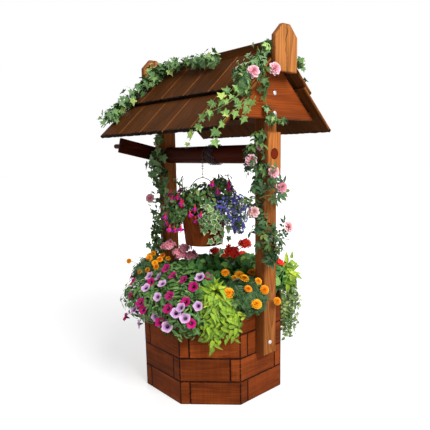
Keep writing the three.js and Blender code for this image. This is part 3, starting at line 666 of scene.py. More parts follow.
# ---- posts, bearing boards, gable boards and pickets ----
def slope_point(side, along, above):
    """A point of the roof's slope as a place across the well and a height."""
    reach = EAVE_REACH - along * RUN + above * RISE
    return Vector((side * reach, EAVE_Z + along * RISE + above * RUN))


def along_at_reach(reach, above):
    return (EAVE_REACH + above * RISE - reach) / RUN


def along_at_height(height, above):
    return (height - EAVE_Z - above * RUN) / RISE


UPPER_SEAT = BOARD_THICK + SEAT_GAP
RIDGE_TOP = slope_point(1, along_at_reach(RIDGE_SIDE, UPPER_SEAT), UPPER_SEAT).y + 0.046
RIDGE_BOTTOM = RIDGE_TOP - RIDGE_HEIGHT
BATTEN_DEPTH = BOARD_THICK + BATTEN_THICK + 2 * SEAT_GAP
GABLE_BOTTOM = EAVE_Z + 0.052
BOLT_HEIGHTS = (GABLE_BOTTOM + 0.029, GABLE_BOTTOM + 0.131)
FOOT_BOLT = 0.350


def upright_boards():
    """Boards drawn with X upwards, stood on both ends of the well square to the ridge."""
    post_ends = 2 * COURSE_HEIGHT, RIDGE_BOTTOM - SEAT_GAP
    post_shape = rectangle(post_ends[1] - post_ends[0], POST_WIDTH)
    bearing_ends = AXLE_Z - BEARING_DROP, AXLE_Z + BEARING_RISE
    bearing_middle, half = sum(bearing_ends) / 2, POST_WIDTH / 2
    low, high = (z - bearing_middle for z in bearing_ends)
    bearing_shape = [(high, -half), (high, half)]
    for side, start in ((half - BEARING_CORNER, 90), (BEARING_CORNER - half, 180)):
        bearing_shape += arc(low + BEARING_CORNER, side, BEARING_CORNER, start, 15, 7)
    picket_top = RIDGE_TOP + PICKET_PROUD
    picket_ends = picket_top - PICKET_LENGTH, picket_top
    rise = (picket_ends[1] - picket_ends[0]) / 2
    picket_shape = [
        (-rise, -PICKET_HALF), (rise - SHOULDER, -PICKET_HALF), (rise, -PICKET_TIP_HALF),
        (rise, PICKET_TIP_HALF), (rise - SHOULDER, PICKET_HALF), (-rise, PICKET_HALF),
    ]
    # the two last values are the seeds of the near and the far board, for grain and tone; the far
    # post's seed 5.2 gives it a lighter tone, painted light against the roof's shadow
    over_roof = ROOF_HALF + SEAT_GAP
    for name, shape, ends, inner, thickness, material, *seeds in (
        ("post", post_shape, post_ends, POST_INNER, POST_THICK, POST_WOOD, 4.3, 5.2),
        ("bearing_board", bearing_shape, bearing_ends, END_INNER, END_THICK, POST_WOOD, 3.1, 6.28),
        ("picket", picket_shape, picket_ends, over_roof, PICKET_THICK, PICKET_WOOD, 1.7, 2.9),
    ):
        middle = sum(ends) / 2
        for label, sign, seed in (("near", 1, seeds[0]), ("far", -1, seeds[1])):
            board = outline_plate(f"{name}_{label}_board", shape, thickness, arris=0.003)
            if name != "picket":
                bore(board, [(AXLE_Z - middle, 0)], JOURNAL_BORE, 3 * thickness)
            if name == "post":
                bolt_places = [(z - middle, 0) for z in (FOOT_BOLT, *BOLT_HEIGHTS)]
                bore(board, bolt_places, BOLT_BORE, 3 * thickness, 16)
            grow_grain(board, seed, outline=shape)
            at = Vector((sign * (inner + thickness / 2), 0, middle))
            mount(board, basis(Z, Y * sign, -X * sign, at), "well", material, f"{name}_{label}")


def gable_boards():
    top = RIDGE_BOTTOM - SEAT_GAP
    middle = (top + GABLE_BOTTOM) / 2
    shape = []
    for side, height in ((1, GABLE_BOTTOM), (1, top), (-1, top), (-1, GABLE_BOTTOM)):
        y, z = slope_point(side, along_at_height(height, -BATTEN_DEPTH), -BATTEN_DEPTH)
        shape.append((y, z - middle))
    for label, sign, seed in (("near", 1, 3.31), ("far", -1, 6.87)):
        board = outline_plate(f"gable_board_{label}_plank", shape, END_THICK, arris=0.003)
        bore(board, [(0, z - middle) for z in BOLT_HEIGHTS], BOLT_BORE, 0.1, 16)
        grow_grain(board, seed, outline=shape)
        at = Vector((sign * (END_INNER + END_THICK / 2), 0, middle))
        mount(board, basis(Y * sign, Z, X * sign, at), "well", GABLE_WOOD, f"gable_board_{label}")


# ---- roof: lapped boards, ridge board and battens ----
def roof_plank(name, length, width, seed, chance, plumb):
    """A roof board with X up the slope from its butt; the butt end is split and ragged.
    A plumb place is where its top is cut upright, against the ridge board."""
    fresh()
    bpy.ops.mesh.primitive_cube_add(size=1)
    bpy.context.object.scale = (length, width, BOARD_THICK)
    board = added(name)
    edit_all()
    ease(0.0025)
    end = -length / 2
    for place in (0.007, 0.02):
        cut((end + place, 0, 0), X)
    cuts = max(8, round(width / 0.011))
    lines = [-width / 2 + width * i / cuts for i in range(1, cuts)]
    for place in lines + [side * (width / 2 - 0.0055) for side in (-1, 1)]:
        cut((0, place, 0), Y)
    if plumb is not None:
        cut(plumb, (RUN, 0, RISE), clear_outer=True, use_fill=True)
    object_mode()
    flat = places_of(board.data)
    co = flat.copy()
    near_end = co[:, 0] < end + 0.0065
    # the saw tore the butt: each fibre bundle ends at its own place
    bundles = np.round((co[:, 1] + width / 2) / width * cuts).astype(int)
    torn = chance.uniform(-0.0032, 0.0034, cuts + 2)
    torn[1:-1] = 0.6 * torn[1:-1] + 0.2 * (torn[:-2] + torn[2:])
    lift = chance.uniform(-0.0012, 0.0012, cuts + 2)
    co[near_end, 0] += torn[bundles[near_end]]
    co[near_end, 2] += lift[bundles[near_end]] * (co[near_end, 2] < 0)
    board.data.vertices.foreach_set("co", co.ravel())
    edge = np.where((np.abs(flat[:, 1]) > width / 2 - 0.0052) & (flat[:, 2] >= 0), 1.0, 0.0)
    # the butt trait fades over the last 20 mm, where the dark end grain and painted shade of the lap
    # go
    grow_grain(board, seed, edge=edge, butt=np.clip(1 - (flat[:, 0] - end) / 0.02, 0, 1))
    return board


def build_roof():
    chance = np.random.default_rng(23)
    lower_joints = [-ROOF_HALF + 2 * ROOF_HALF * i / 5 for i in range(6)]
    upper_joints = [-ROOF_HALF, -0.380, -0.165, 0.050, 0.265, 0.480, ROOF_HALF]
    upper_length = along_at_reach(RIDGE_SIDE, UPPER_SEAT) - LAP_FROM
    # joints, where the course starts up the slope, its length, its middle, and what is cut plumb
    courses = {
        "lower": (lower_joints, 0.0, LOWER_LENGTH, -BOARD_THICK / 2, 0.0),
        "upper": (upper_joints, LAP_FROM, upper_length, UPPER_SEAT - BOARD_THICK / 2, 0.03),
    }
    for label, side in (("left", -1), ("right", 1)):
        uphill, outward = Vector((0, -side * RUN, RISE)), Vector((0, side * RISE, RUN))
        for course, (joints, start, length, middle, spare) in courses.items():
            full = length + spare
            plumb = (-full / 2 + length, 0, BOARD_THICK / 2) if spare else None
            for i in range(len(joints) - 1):
                from_x = joints[i] + (BOARD_GAP if i else 0)
                to_x = joints[i + 1] - (BOARD_GAP if i + 2 < len(joints) else 0)
                name = f"roof_{course}_{label}_plank_{i + 1}"
                board = roof_plank(name, full, to_x - from_x, chance.uniform(0, 9), chance, plumb)
                centre = slope_point(side, start + full / 2, middle)
                at = Vector(((from_x + to_x) / 2, *centre))
                frame_turn = basis(uphill, outward.cross(uphill), outward, at)
                mount(board, frame_turn, "well", ROOF_WOOD, f"roof_{course}_{label}_{i + 1}")
    ridge = outline_plate(
        "ridge_plank", rectangle(2 * ROOF_HALF, RIDGE_HEIGHT), RIDGE_THICK, arris=0.004
    )
    grow_grain(ridge, 4.4)
    at = Vector((0, 0, RIDGE_TOP - RIDGE_HEIGHT / 2))
    mount(ridge, basis(X, Z, -Y, at), "well", ROOF_WOOD, "ridge_board")


def paint_node(node, material):
    """Gives a CAD node that stays its finish."""
    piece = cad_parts[node]
    piece.data.materials.clear()
    piece.data.materials.append(material)


build_wall()
upright_boards()
gable_boards()
build_roof()
for place in ("eave", "lap"):
    for side in ("left", "right"):
        paint_node(f"{place}_batten_{side}", BATTEN_WOOD)
paint_node("floor_panel", FLOOR_WOOD)

# ---- windlass: roller with turned ends, crank arm and peg ----
SHAFT_RADIUS = 0.0285
SHAFT_END = 0.93 * SHAFT_RADIUS
ROLLER_RADIUS = 0.052
ROLLER_HALF = POST_INNER - 0.003
ROLLER_ARRIS = 0.004
CHAMFER = 0.003
ARM_INNER = END_OUTER + 0.003
ARM_THICK = 0.020
ARM_WIDTH = 0.093
ARM_REACH = 0.325
ARM_LIFT = math.radians(12.5)
ARM_BORE_GAP = 0.0004
PEG_REACH = ARM_REACH - 0.027
PEG_RADIUS = 0.015
PEG_LENGTH = 0.106


def rod_along_x(name, radius, from_x, to_x, sides=64):
    """A round bar lying along X."""
    quarter = (0, math.radians(90), 0)
    return rod(name, sides, radius, to_x - from_x, ((from_x + to_x) / 2, 0, 0), quarter)


def roller():
    piece = rod_along_x("roller_turning", ROLLER_RADIUS, -ROLLER_HALF, ROLLER_HALF)
    at_end = ROLLER_HALF - TOUCH
    pick_edges(piece, lambda co: abs(co.x) > at_end)
    ease(ROLLER_ARRIS, 3)
    for side, reach in ((1, END_OUTER), (-1, ARM_INNER + ARM_THICK)):
        pick_faces(piece, lambda middle, way: middle.x * side > at_end and way.x * side > 0.99)
        bpy.ops.mesh.inset(thickness=ROLLER_RADIUS - ROLLER_ARRIS - SHAFT_RADIUS)
        draw_out(side * (reach - ROLLER_HALF - CHAMFER), 0, 0)
        draw_out(side * CHAMFER, 0, 0)
        widen(1, 0.93, 0.93)
        bpy.ops.mesh.inset(thickness=0.0025)
    object_mode()
    co = places_of(piece.data)
    sawn = np.abs(co[:, 0]) > END_OUTER - 0.0005
    sawn &= np.hypot(co[:, 1], co[:, 2]) < SHAFT_END - 0.002
    grow_grain(piece, 2.71, butt=np.where(sawn, 1.0, 0.0))
    axle = Matrix.Translation((0, 0, AXLE_Z))
    mount(piece, axle, "windlass", WINDLASS_WOOD, "axle_roller")


def crank():
    root = ARM_WIDTH / 2
    shape = [(ARM_REACH, -root), (ARM_REACH, root)] + arc(0, 0, root, 90, 10, 19)
    arm = outline_plate("crank_board", shape, ARM_THICK, arris=0.0025)
    for place, radius in ((0, SHAFT_RADIUS), (PEG_REACH, PEG_RADIUS)):
        bore(arm, [(place, 0)], radius + ARM_BORE_GAP, 0.1)
    grow_grain(arm, 7.13, outline=shape)
    along = Vector((0, -math.cos(ARM_LIFT), math.sin(ARM_LIFT)))
    at = Vector((-ARM_INNER - ARM_THICK / 2, 0, AXLE_Z))
    mount(arm, basis(along, X.cross(along), X, at), "windlass", WINDLASS_WOOD, "crank_arm")

    tip = -ARM_INNER - PEG_LENGTH
    peg = rod_along_x("crank_handle", PEG_RADIUS, tip, -ARM_INNER, 40)
    pick_edges(peg, lambda co: co.x < tip + TOUCH)
    ease(0.005, 4)
    pick_faces(peg, lambda middle, normal: normal.x < -0.99)
    bpy.ops.mesh.inset(thickness=0.002)
    object_mode()
    grow_grain(peg, 5.02)
    at = Vector((0, 0, AXLE_Z)) + along * PEG_REACH
    mount(peg, Matrix.Translation(at), "windlass", WINDLASS_WOOD, "crank_peg")


# ---- steel: chain, bail and carriage bolts ----
def steel(name, colour, spots, roughness, metallic, scale, slot=None):
    """Metal with a mottled coat: duller spots and a fine grain in the shine."""
    f = Finish(name, slot)
    place = f.own_place()
    mottle = f.noise(place, scale, 4.0, 0.6)
    tone_mask = f.span(mottle, 0.45, 0.7)
    fine = f.noise(place, scale * 9)
    f.bump(f.plus(mottle, f.times(fine, 0.3)), 0.2, 0.0006)
    shine = f.plus(f.span(tone_mask, 0.0, 1.0, roughness, roughness + 0.18), f.times(fine, 0.06))
    return f.finish(f.mix(tone_mask, linear(*colour), linear(*spots)), shine, 0.5, metallic)


CHAIN_STEEL = steel("chain_steel", (74, 74, 78), (52, 42, 36), 0.38, 0.9, 160)
BAIL_STEEL = steel("bail_steel", (70, 70, 72), (50, 44, 40), 0.36, 0.9, 120, "chain_steel")
BOLT_STEEL = steel("bolt_steel", (214, 216, 220), (160, 162, 166), 0.28, 0.95, 220)

LINK_WIRE = 0.0016
LINK_LENGTH = 0.022
LINK_WIDTH = 0.0125
LINK_PITCH = LINK_LENGTH - 4 * LINK_WIRE + 0.0005
LOWEST_LINK = BAIL_TOP - 0.0028 - 2 * LINK_WIRE + LINK_LENGTH / 2
WINDING_RADIUS = 0.0575
WINDING_TURNS = 6
WINDING_PITCH = 0.013
WINDING_START = 0.003
WINDING_RISE = WINDING_PITCH / (2 * math.pi * WINDING_RADIUS)


def chain_link():
    """One welded link lying flat, its length along X."""
    fresh()
    bend = LINK_WIDTH / 2 - LINK_WIRE
    bpy.ops.mesh.primitive_torus_add(
        major_segments=20, minor_segments=8, major_radius=bend, minor_radius=LINK_WIRE
    )
    link = bpy.context.object
    stretch = LINK_LENGTH / 2 - LINK_WIRE - bend
    for side in (1, -1):
        object_mode()
        for vertex in link.data.vertices:
            vertex.select = vertex.co.x * side > 1e-5
        bpy.ops.object.mode_set(mode="EDIT")
        bpy.ops.mesh.select_mode(type="VERT")
        bpy.ops.transform.translate(value=(side * stretch, 0, 0))
    object_mode()
    return link


def chains():
    pattern = chain_link()
    hanging = []
    for i in range(9):
        at = Vector((HANG.x, HANG.y, LOWEST_LINK + i * LINK_PITCH))
        flat = (Z, X, Y) if i % 2 else (Z, Y, -X)
        hanging.append(lay(copy_of(pattern, "hanging_link"), basis(*flat, at)))
    drop = join_pieces(hanging, "hanging_chain")
    mount(drop, Matrix(), "hoist", CHAIN_STEEL, "chain_drop", 60)

    # the wound links stand at half a right angle, turned by turns to either side
    chance = np.random.default_rng(77)
    step = LINK_PITCH / WINDING_RADIUS
    wound = []
    for i in range(int(WINDING_TURNS * 2 * math.pi / step)):
        angle = 0.16 + i * step
        ease_in = min(1.0, angle / (math.pi / 2))
        drift = (WINDING_START - HANG.x) * (1 - ease_in * ease_in * (3 - 2 * ease_in))
        x = WINDING_START + WINDING_PITCH * angle / (2 * math.pi) - drift
        out = Vector((0, -math.cos(angle), math.sin(angle)))
        run = Vector((WINDING_RISE, math.sin(angle), math.cos(angle))).normalized()
        side = run.cross(out)
        lean = math.radians(45 + chance.uniform(-8, 8)) * (1 if i % 2 else -1)
        face = math.cos(lean) * out + math.sin(lean) * side
        at = Vector((x + chance.uniform(-0.0008, 0.0008), 0, AXLE_Z)) + out * WINDING_RADIUS
        wound.append(lay(copy_of(pattern, "wound_link"), basis(run, face.cross(run), face, at)))
    winding = join_pieces(wound, "wound_chain")
    mount(winding, Matrix(), "windlass", CHAIN_STEEL, "chain_winding", 60)
    bpy.data.objects.remove(pattern)


BAIL_RADIUS = 0.1387
BAIL_WIRE = 0.0025
BAIL_BASE = BAIL_TOP - BAIL_RADIUS
BAIL_BEND = 0.008
EAR_Z = 1.040


def bail():
    """The tub's wire bail: an arch swept from one ear to the other, its ends bent into the tub."""
    wire = disc("bail_wire", 12, BAIL_WIRE, BAIL_BASE, BAIL_RADIUS)
    edit_all()
    sweep = {"axis": (0, 1, 0), "use_auto_merge": False}
    bpy.ops.mesh.spin(steps=44, angle=math.pi, center=(0, 0, BAIL_BASE), **sweep)
    for side in (1, -1):
        reach = BAIL_RADIUS * side

        def at_end(middle, normal):
            at_foot = abs(middle.z - BAIL_BASE) < TOUCH and abs(normal.z) > 0.9
            return at_foot and abs(middle.x - reach) < 1e-3

        pick_faces(wire, at_end)
        draw_out(0, 0, EAR_Z + BAIL_BEND - BAIL_BASE)
        centre = (reach - side * BAIL_BEND, 0, EAR_Z + BAIL_BEND)
        bpy.ops.mesh.spin(steps=6, angle=-side * math.pi / 2, center=centre, **sweep)
        draw_out(-side * 0.002, 0, 0)
    turn_outward()
    object_mode()
    mount(wire, Matrix.Translation(HANG), "bail", BAIL_STEEL, "bail", 60)


def carriage_bolt(name, grip):
    """A domed bolt along Z, its head's underside at the origin, with washer and nut below."""
    fresh()
    bpy.ops.mesh.primitive_uv_sphere_add(segments=32, ring_count=16, radius=0.013)
    bpy.context.object.scale = (1, 1, 7 / 13)
    parts = [added("head")]
    edit_all()
    cut((0, 0, 0), -Z, clear_outer=True, use_fill=True)
    object_mode()
    washer = 0.0025
    for label, radius, depth, below, sides in (
        ("shank", 0.005, grip + 0.0155, 0.0, 24),
        ("washer", 0.013, washer, grip, 40),
        ("nut", 0.0095, 0.008, grip + washer, 6),
    ):
        parts.append(rod(label, sides, radius, depth, (0, 0, -below - depth / 2)))
        edit_all()
        ease(0.0006)
        object_mode()
    return join_pieces(parts, name)


def bolts():
    places = [("foot_bolt", POST_OUTER, POST_OUTER - (WELL_APOTHEM - WALL_THICKNESS), FOOT_BOLT)]
    for level, height in zip(("lower", "upper"), BOLT_HEIGHTS):
        places.append((f"gable_bolt_{level}", END_OUTER, END_OUTER - POST_INNER, height))
    for name, seat, grip, height in places:
        pattern = carriage_bolt("bolt_pattern", grip)
        for label, sign in (("near", 1), ("far", -1)):
            bolt = copy_of(pattern, f"carriage_{name}_{label}")
            turn = basis(Y, Z * sign, X * sign, Vector((seat * sign, 0, height)))
            mount(bolt, turn, "well", BOLT_STEEL, f"{name}_{label}")
        bpy.data.objects.remove(pattern)


# ---- tub and soil ----
TUB_WALL = 0.014
TUB_FLOOR = 0.016
SOIL_RADIUS, SOIL_DROP = 0.1165, 0.034


def tub():
    """A tapered tub drawn up from its base, hollowed, with a rounded foot and rim."""
    piece = disc("wooden_tub", 72, TUB_FOOT_RADIUS, TUB_BOTTOM)
    edit_all()
    draw_out(0, 0, TUB_RIM - TUB_BOTTOM)
    flare = TUB_RIM_RADIUS / TUB_FOOT_RADIUS
    widen(flare, flare, 1)
    bpy.ops.mesh.inset(thickness=TUB_WALL)
    draw_out(0, 0, -(TUB_RIM - TUB_BOTTOM - TUB_FLOOR))
    narrow = (TUB_FOOT_RADIUS - TUB_WALL) / (TUB_RIM_RADIUS - TUB_WALL)
    widen(narrow, narrow, 1)
    pick_edges(piece, lambda co: co.z < TUB_BOTTOM + TOUCH)
    ease(0.006, 4)
    pick_edges(piece, lambda co: co.z > TUB_RIM - TOUCH)
    ease(0.003, 3)
    turn_outward()
    object_mode()
    co = places_of(piece.data)
    # the grain stands upright in the tub's wall
    edge = np.where(co[:, 2] > TUB_RIM - 0.002, 0.6, 0.0)
    grow_grain(piece, 1.93, edge=edge, grain=co[:, (2, 0, 1)])
    mount(piece, Matrix.Translation(HANG), "tub", TUB_WOOD, "tub", 40)


def soil_finish():
    f = Finish("potting_soil", "leaves")
    place = f.own_place()
    clods = f.noise(place, 60.0, 4.0, 0.6)
    crumbs = f.noise(place, 420.0)
    tones = ((0.3, (28, 18, 12)), (0.55, (54, 36, 24)), (0.75, (84, 60, 40)))
    colour = f.ramp(clods, [(at, linear(*tone)) for at, tone in tones])
    f.bump(f.plus(clods, f.times(crumbs, 0.4)), 0.9, 0.004)
    return f.finish(colour, 0.95, 0.05)


def tub_soil():
    """A low mound inside the tub, its crumbs uneven."""
    soil = disc("tub_soil", 48, SOIL_RADIUS, TUB_RIM - SOIL_DROP)
    edit_all()
    for _ in range(4):
        bpy.ops.mesh.inset(thickness=0.024)
        bpy.ops.transform.translate(value=(0, 0, 0.003))
    object_mode()
    chance = np.random.default_rng(3)
    for vertex in soil.data.vertices:
        vertex.co.z += chance.uniform(-0.002, 0.002)
    lay(soil, Matrix.Translation(HANG))
    soil.data.shade_smooth()
    settle(soil, "tub", POTTING_SOIL)


POTTING_SOIL = soil_finish()
roller()
crank()
chains()
bail()
bolts()
tub()
tub_soil()
paint_node("soil_bed", POTTING_SOIL)


# ---- planting: each leaf and flower is modelled once, then set out in its place ----
# part runs from 0 in the middle of a leaf or flower to 1 at its rim
Pattern = namedtuple("Pattern", "points faces part")


def pattern_of(piece, part=None):
    """Reads a modelled leaf or flower into arrays and takes it away."""
    points = places_of(piece.data).astype(float)
    faces = [tuple(face.vertices) for face in piece.data.polygons]
    bpy.data.objects.remove(piece)
    return Pattern(points, faces, np.zeros(len(points)) if part is None else np.array(part))


def compose(items):
    """One pattern from several, each moved by its matrix and given a part value if one is named."""
    points, faces, parts, base = [], [], [], 0
    for pattern, matrix, part in items:
        turn = np.array(matrix.to_3x3())
        points.append(pattern.points @ turn.T + np.array(matrix.translation))
        faces += [tuple(i + base for i in face) for face in pattern.faces]
        parts.append(pattern.part if part is None else pattern.part * 0 + part)
        base += len(pattern.points)
    return Pattern(np.vstack(points), faces, np.concatenate(parts))


def tinted(pattern, low, high):
    """The same shape with its part values laid on a new range."""
    return pattern._replace(part=low + (high - low) * pattern.part)


def turned(degrees, size=1.0):
    return Matrix.Rotation(math.radians(degrees), 4, "Z") @ Matrix.Scale(size, 4)


def around(pattern, count, tilt, radius, height=0.0, size=1.0, start=0.0, part=None):
    """Copies set round the Z axis, each leaning up by the tilt in degrees."""
    lean = Matrix.Rotation(math.radians(tilt), 4, "X")
    place = Matrix.Translation((0, radius, height)) @ lean
    turns = [Matrix.Rotation(start + 2 * math.pi * i / count, 4, "Z") for i in range(count)]
    return [(pattern, turn @ place @ Matrix.Scale(size, 4), part) for turn in turns]


def layered(petals, radius, rings):
    """Rings of petals, each given by its count, tilt, size and height."""
    items = []
    for i, (shape, (count, tilt, size, height)) in enumerate(zip(petals, rings)):
        items += around(shape, count, tilt, radius, height, size, 0.4 * i)
    return compose(items)


def blade(outline, middle, fold, arch, ruffle=0.0):
    """A leaf blade with its stalk end at the origin, its tip along +Y and its upper side up:
    a disc whose rim is drawn out to the outline, folded at the midrib and arched."""
    fresh()
    bpy.ops.mesh.primitive_circle_add(vertices=len(outline), fill_type="TRIFAN")
    piece = bpy.context.object
    corners = sorted(piece.data.vertices, key=lambda v: math.atan2(v.co.y, v.co.x))
    hub = min(corners, key=lambda v: v.co.length)
    rim = [v for v in corners if v.index != hub.index]
    start = min(
        range(len(outline)), key=lambda i: math.atan2(outline[i][1] - middle, outline[i][0])
    )
    for i, (vertex, (x, y)) in enumerate(zip(rim, outline[start:] + outline[:start])):
        vertex.co = (x, y, fold * abs(x) - arch * y * y + ruffle * math.sin(2.6 * i))
    hub.co = (0, middle, -arch * middle**2)
    return pattern_of(piece, [float(v.index != hub.index) for v in piece.data.vertices])


def petal(width, length, cup, curl, cuts=2):
    """A petal from a cut grid: narrow at its foot, cupped across and curled at its tip."""
    fresh()
    bpy.ops.mesh.primitive_grid_add(x_subdivisions=cuts, y_subdivisions=cuts, size=1)
    piece = bpy.context.object
    part = []
    for vertex in piece.data.vertices:
        across, along = vertex.co.x * 2, vertex.co.y + 0.5
        breadth = width * math.sin(math.pi * min(1.0, 0.12 + 0.62 * along)) * (1 - 0.25 * along**6)
        vertex.co.x = across * breadth / 2
        vertex.co.y = along * length * (1 - 0.12 * across**2 * along)
        vertex.co.z = cup * abs(across) ** 2 * breadth + curl * along**2 * length
        part.append(along)
    return pattern_of(piece, part)


def funnel():
    """A petunia's trumpet: rings drawn out from the throat, then five ruffled lobes."""
    reach, full = 0.05, 0.5
    piece = disc("trumpet", 20, reach, -0.5)
    edit_all()
    for radius, rise in ((0.09, 0.2), (0.16, 0.18), (0.33, 0.09), (full, 0.03)):
        draw_out(0, 0, rise)
        widen(radius / reach, radius / reach, 1)
        reach = radius
    bpy.ops.mesh.delete(type="ONLY_FACE")
    object_mode()
    part = []
    for vertex in piece.data.vertices:
        share = vertex.co.xy.length / full
        angle = math.atan2(vertex.co.y, vertex.co.x)
        lobes = math.cos(5 * angle) * max(0.0, share - 0.5)
        vertex.co.xy *= 1 + 0.16 * lobes
        vertex.co.z += 0.10 * lobes + 0.02 * math.sin(10 * angle) * share**3
        part.append(share)
    return pattern_of(piece, part)


def tube(foot, head, length, sides=6):
    fresh()
    bpy.ops.mesh.primitive_cone_add(
        vertices=sides, radius1=foot, radius2=head, depth=length, location=(0, 0, length / 2)
    )
    return pattern_of(added("tube"))


def stalk():
    """A stem's unit length: a six sided rod, one thick and one long."""
    piece = rod("stalk", 6, 1, 1, (0, 0, 0.5))
    edit_all()
    cut((0, 0, 0.5), Z)
    object_mode()
    return pattern_of(piece)


def fuchsia():
    """A hanging bell: tube, four flared red sepals, a purple skirt and threads below it."""
    sepal = petal(0.34, 0.46, cup=0.3, curl=0.25)
    skirt = petal(0.30, 0.28, cup=-0.5, curl=-0.15)
    items = [(tube(0.05, 0.10, 0.30), Matrix(), 0.0)]
    items += around(sepal, 4, 48, 0.07, 0.28, start=0.4, part=0.0)
    items += around(skirt, 6, 74, 0.11, 0.42, part=1.0)
    thread = tube(0.012, 0.02, 0.62, 3)
    for i in range(4):
        splay = Matrix.Rotation(1.57 * i, 4, "Z") @ Matrix.Rotation(0.10, 4, "X")
        items.append((thread, splay @ Matrix.Translation((0, 0, 0.30)), 0.2))
    return compose(items)


def geranium_head():
    """A loose, flattened head of five-petalled florets over a few buds."""
    floret = compose(around(petal(0.62, 0.52, cup=0.2, curl=-0.1, cuts=1), 5, 18, 0.02))
    fresh()
    bpy.ops.mesh.primitive_ico_sphere_add(subdivisions=2, radius=0.2)
    items = [(pattern_of(added("heart")), Matrix.Translation((0, 0, -0.02)), 0.1)]
    chance = np.random.default_rng(7)
    count = 26
    for i in range(count):
        height = 1 - 1.15 * (i + 0.5) / count
        turn = i * math.radians(137.5)
        reach = math.sqrt(max(0.0, 1 - height * height))
        way = Vector((reach * math.cos(turn), reach * math.sin(turn), height * 0.7))
        leaning = way + Vector(chance.normal(scale=0.28, size=3))
        face = leaning.to_track_quat("Z", "Y").to_matrix().to_4x4()
        far = 0.40 * chance.uniform(0.72, 1.2)
        items.append((floret, Matrix.Translation(way * far) @ face @ Matrix.Scale(0.38, 4), None))
    return compose(items)


def round_rim(scallops=9, steps=27):
    """A round leaf's rim with shallow scallops and a notch at its stalk."""
    rim = []
    for i in range(steps):
        angle = math.radians(16 + 328 * i / (steps - 1))
        reach = 0.5 * (1 + 0.06 * math.cos(scallops * angle))
        rim.append((reach * math.sin(angle), 0.5 - reach * math.cos(angle)))
    return rim + [(0.0, 0.32)]


# the right half of a leaf's outline from stalk to tip, then its middle, fold and arch
BLADES = {
    "ivy": (
        [(0, 0.10), (0.16, -0.02), (0.46, 0.02), (0.33, 0.25), (0.56, 0.48), (0.22, 0.56), (0, 1)],
        0.33, 0.22, 0.22,
    ),
    "ovate": ([(0, 0), (0.20, 0.14), (0.29, 0.40), (0.20, 0.72), (0, 1)], 0.45, 0.3, 0.3),
    "oblong": ([(0, 0), (0.09, 0.12), (0.19, 0.50), (0.15, 0.80), (0, 1)], 0.5, 0.3, 0.3),
    "narrow": ([(0, 0), (0.11, 0.25), (0.12, 0.6), (0, 1)], 0.5, 0.3, 0.35),
    "lime": (
        [(0, 0.02), (0.12, 0), (0.20, 0.14), (0.19, 0.34), (0.10, 0.68), (0, 1)], 0.30, 0.34, 0.34
    ),
}


def make_patterns():
    p = {"stalk": stalk(), "fuchsia": fuchsia(), "geranium": geranium_head(), "petunia": funnel()}
    for kind, (half, middle, fold, arch) in BLADES.items():
        left = [(-x, y) for x, y in reversed(half) if x]
        p[kind] = blade(half + left, middle, fold, arch)
    p["round"] = blade(round_rim(), 0.46, fold=0.16, arch=0.05, ruffle=0.04)
    leaflets = (
        (0.42, 0.30, 70), (0.42, 0.30, -70), (0.50, 0.62, 55), (0.50, 0.62, -55), (0.55, 0.80, 0),
    )
    p["rose_leaf"] = compose(
        (p["ovate"], Matrix.Translation((0, along, 0)) @ turned(turn, size), None)
        for size, along, turn in leaflets
    )
    items = [(p["narrow"], Matrix.Scale(0.9, 4), None)]
    for i in range(4):
        for side in (-1, 1):
            place = Matrix.Translation((0, 0.12 + 0.2 * i, 0))
            items.append((p["narrow"], place @ turned(52 * side, 0.56 - 0.06 * i), None))
    p["fern"] = compose(items)
    frill = petal(0.42, 0.5, cup=0.25, curl=-0.2)
    p["marigold"] = layered(
        [frill] * 5, 0.02,
        (
            (13, 8, 1, 0), (12, 24, 0.92, 0.05), (10, 42, 0.78, 0.09), (8, 60, 0.6, 0.12),
            (5, 78, 0.42, 0.14),
        ),
    )
    shell = petal(0.50, 0.52, cup=0.30, curl=-0.16, cuts=3)
    p["rose"] = layered(
        [tinted(shell, 0.55 - 0.1 * ring, 1.0 - 0.1 * ring) for ring in range(6)], 0.015,
        (
            (8, 10, 1, 0), (8, 26, 0.90, 0.03), (7, 42, 0.76, 0.06), (6, 56, 0.60, 0.09),
            (5, 68, 0.46, 0.12), (4, 80, 0.32, 0.14),
        ),
    )
    p["lobelia"] = compose(
        (p["narrow"], turned(turn) @ Matrix.Diagonal((2.6 * size, size, size, 1)), None)
        for turn, size in ((0, 0.62), (40, 0.52), (-40, 0.52), (150, 0.36), (210, 0.36))
    )
    return p


PATTERNS = make_patterns()

# ---- where leaves may grow: what they keep clear of, and by how much ----
ROOM_X, ROOM_Y = 0.589, 0.462
CLEAR = 0.004
BESIDE_POST = POST_WIDTH / 2 + CLEAR
POST_FOOT = 2 * COURSE_HEIGHT - CLEAR
BEARING_MIDDLE = AXLE_Z + (BEARING_RISE - BEARING_DROP) / 2
BEARING_REACH = (BEARING_RISE + BEARING_DROP) / 2 + 0.005
UNDER_ROOF = 0.034
GABLE_INNER, GABLE_OUTER = 0.40, END_OUTER + 0.003
BESIDE_RIDGE, BESIDE_PICKET = 0.026, 0.090
PICKET_FOOT = RIDGE_TOP - 0.170
ROUND_ROLLER = 0.080
CRANK_INNER, CRANK_SIDE, CRANK_LOW, CRANK_HIGH = -0.500, 0.06, 1.30, 1.80
ROUND_WELL = 0.006
ROUND_TUB = TUB_RIM_RADIUS + 0.005
BESIDE_BAIL, ACROSS_BAIL, BAIL_FOOT = 0.018, 0.034, 1.03
UNDER_WINDING = 1.292
# the tub needs this room to swing and its planting this to rise
SWING_ROOM, RISING_ROOM, RISEN_TOP = 0.185, 0.270, 1.32


def unit(vectors):
    return vectors / np.maximum(np.linalg.norm(vectors, axis=-1, keepdims=True), 1e-9)


def random_ways(chance, count):
    return unit(chance.normal(size=(count, 3)))


def between(values, low, high):
    return (values > low) & (values < high)


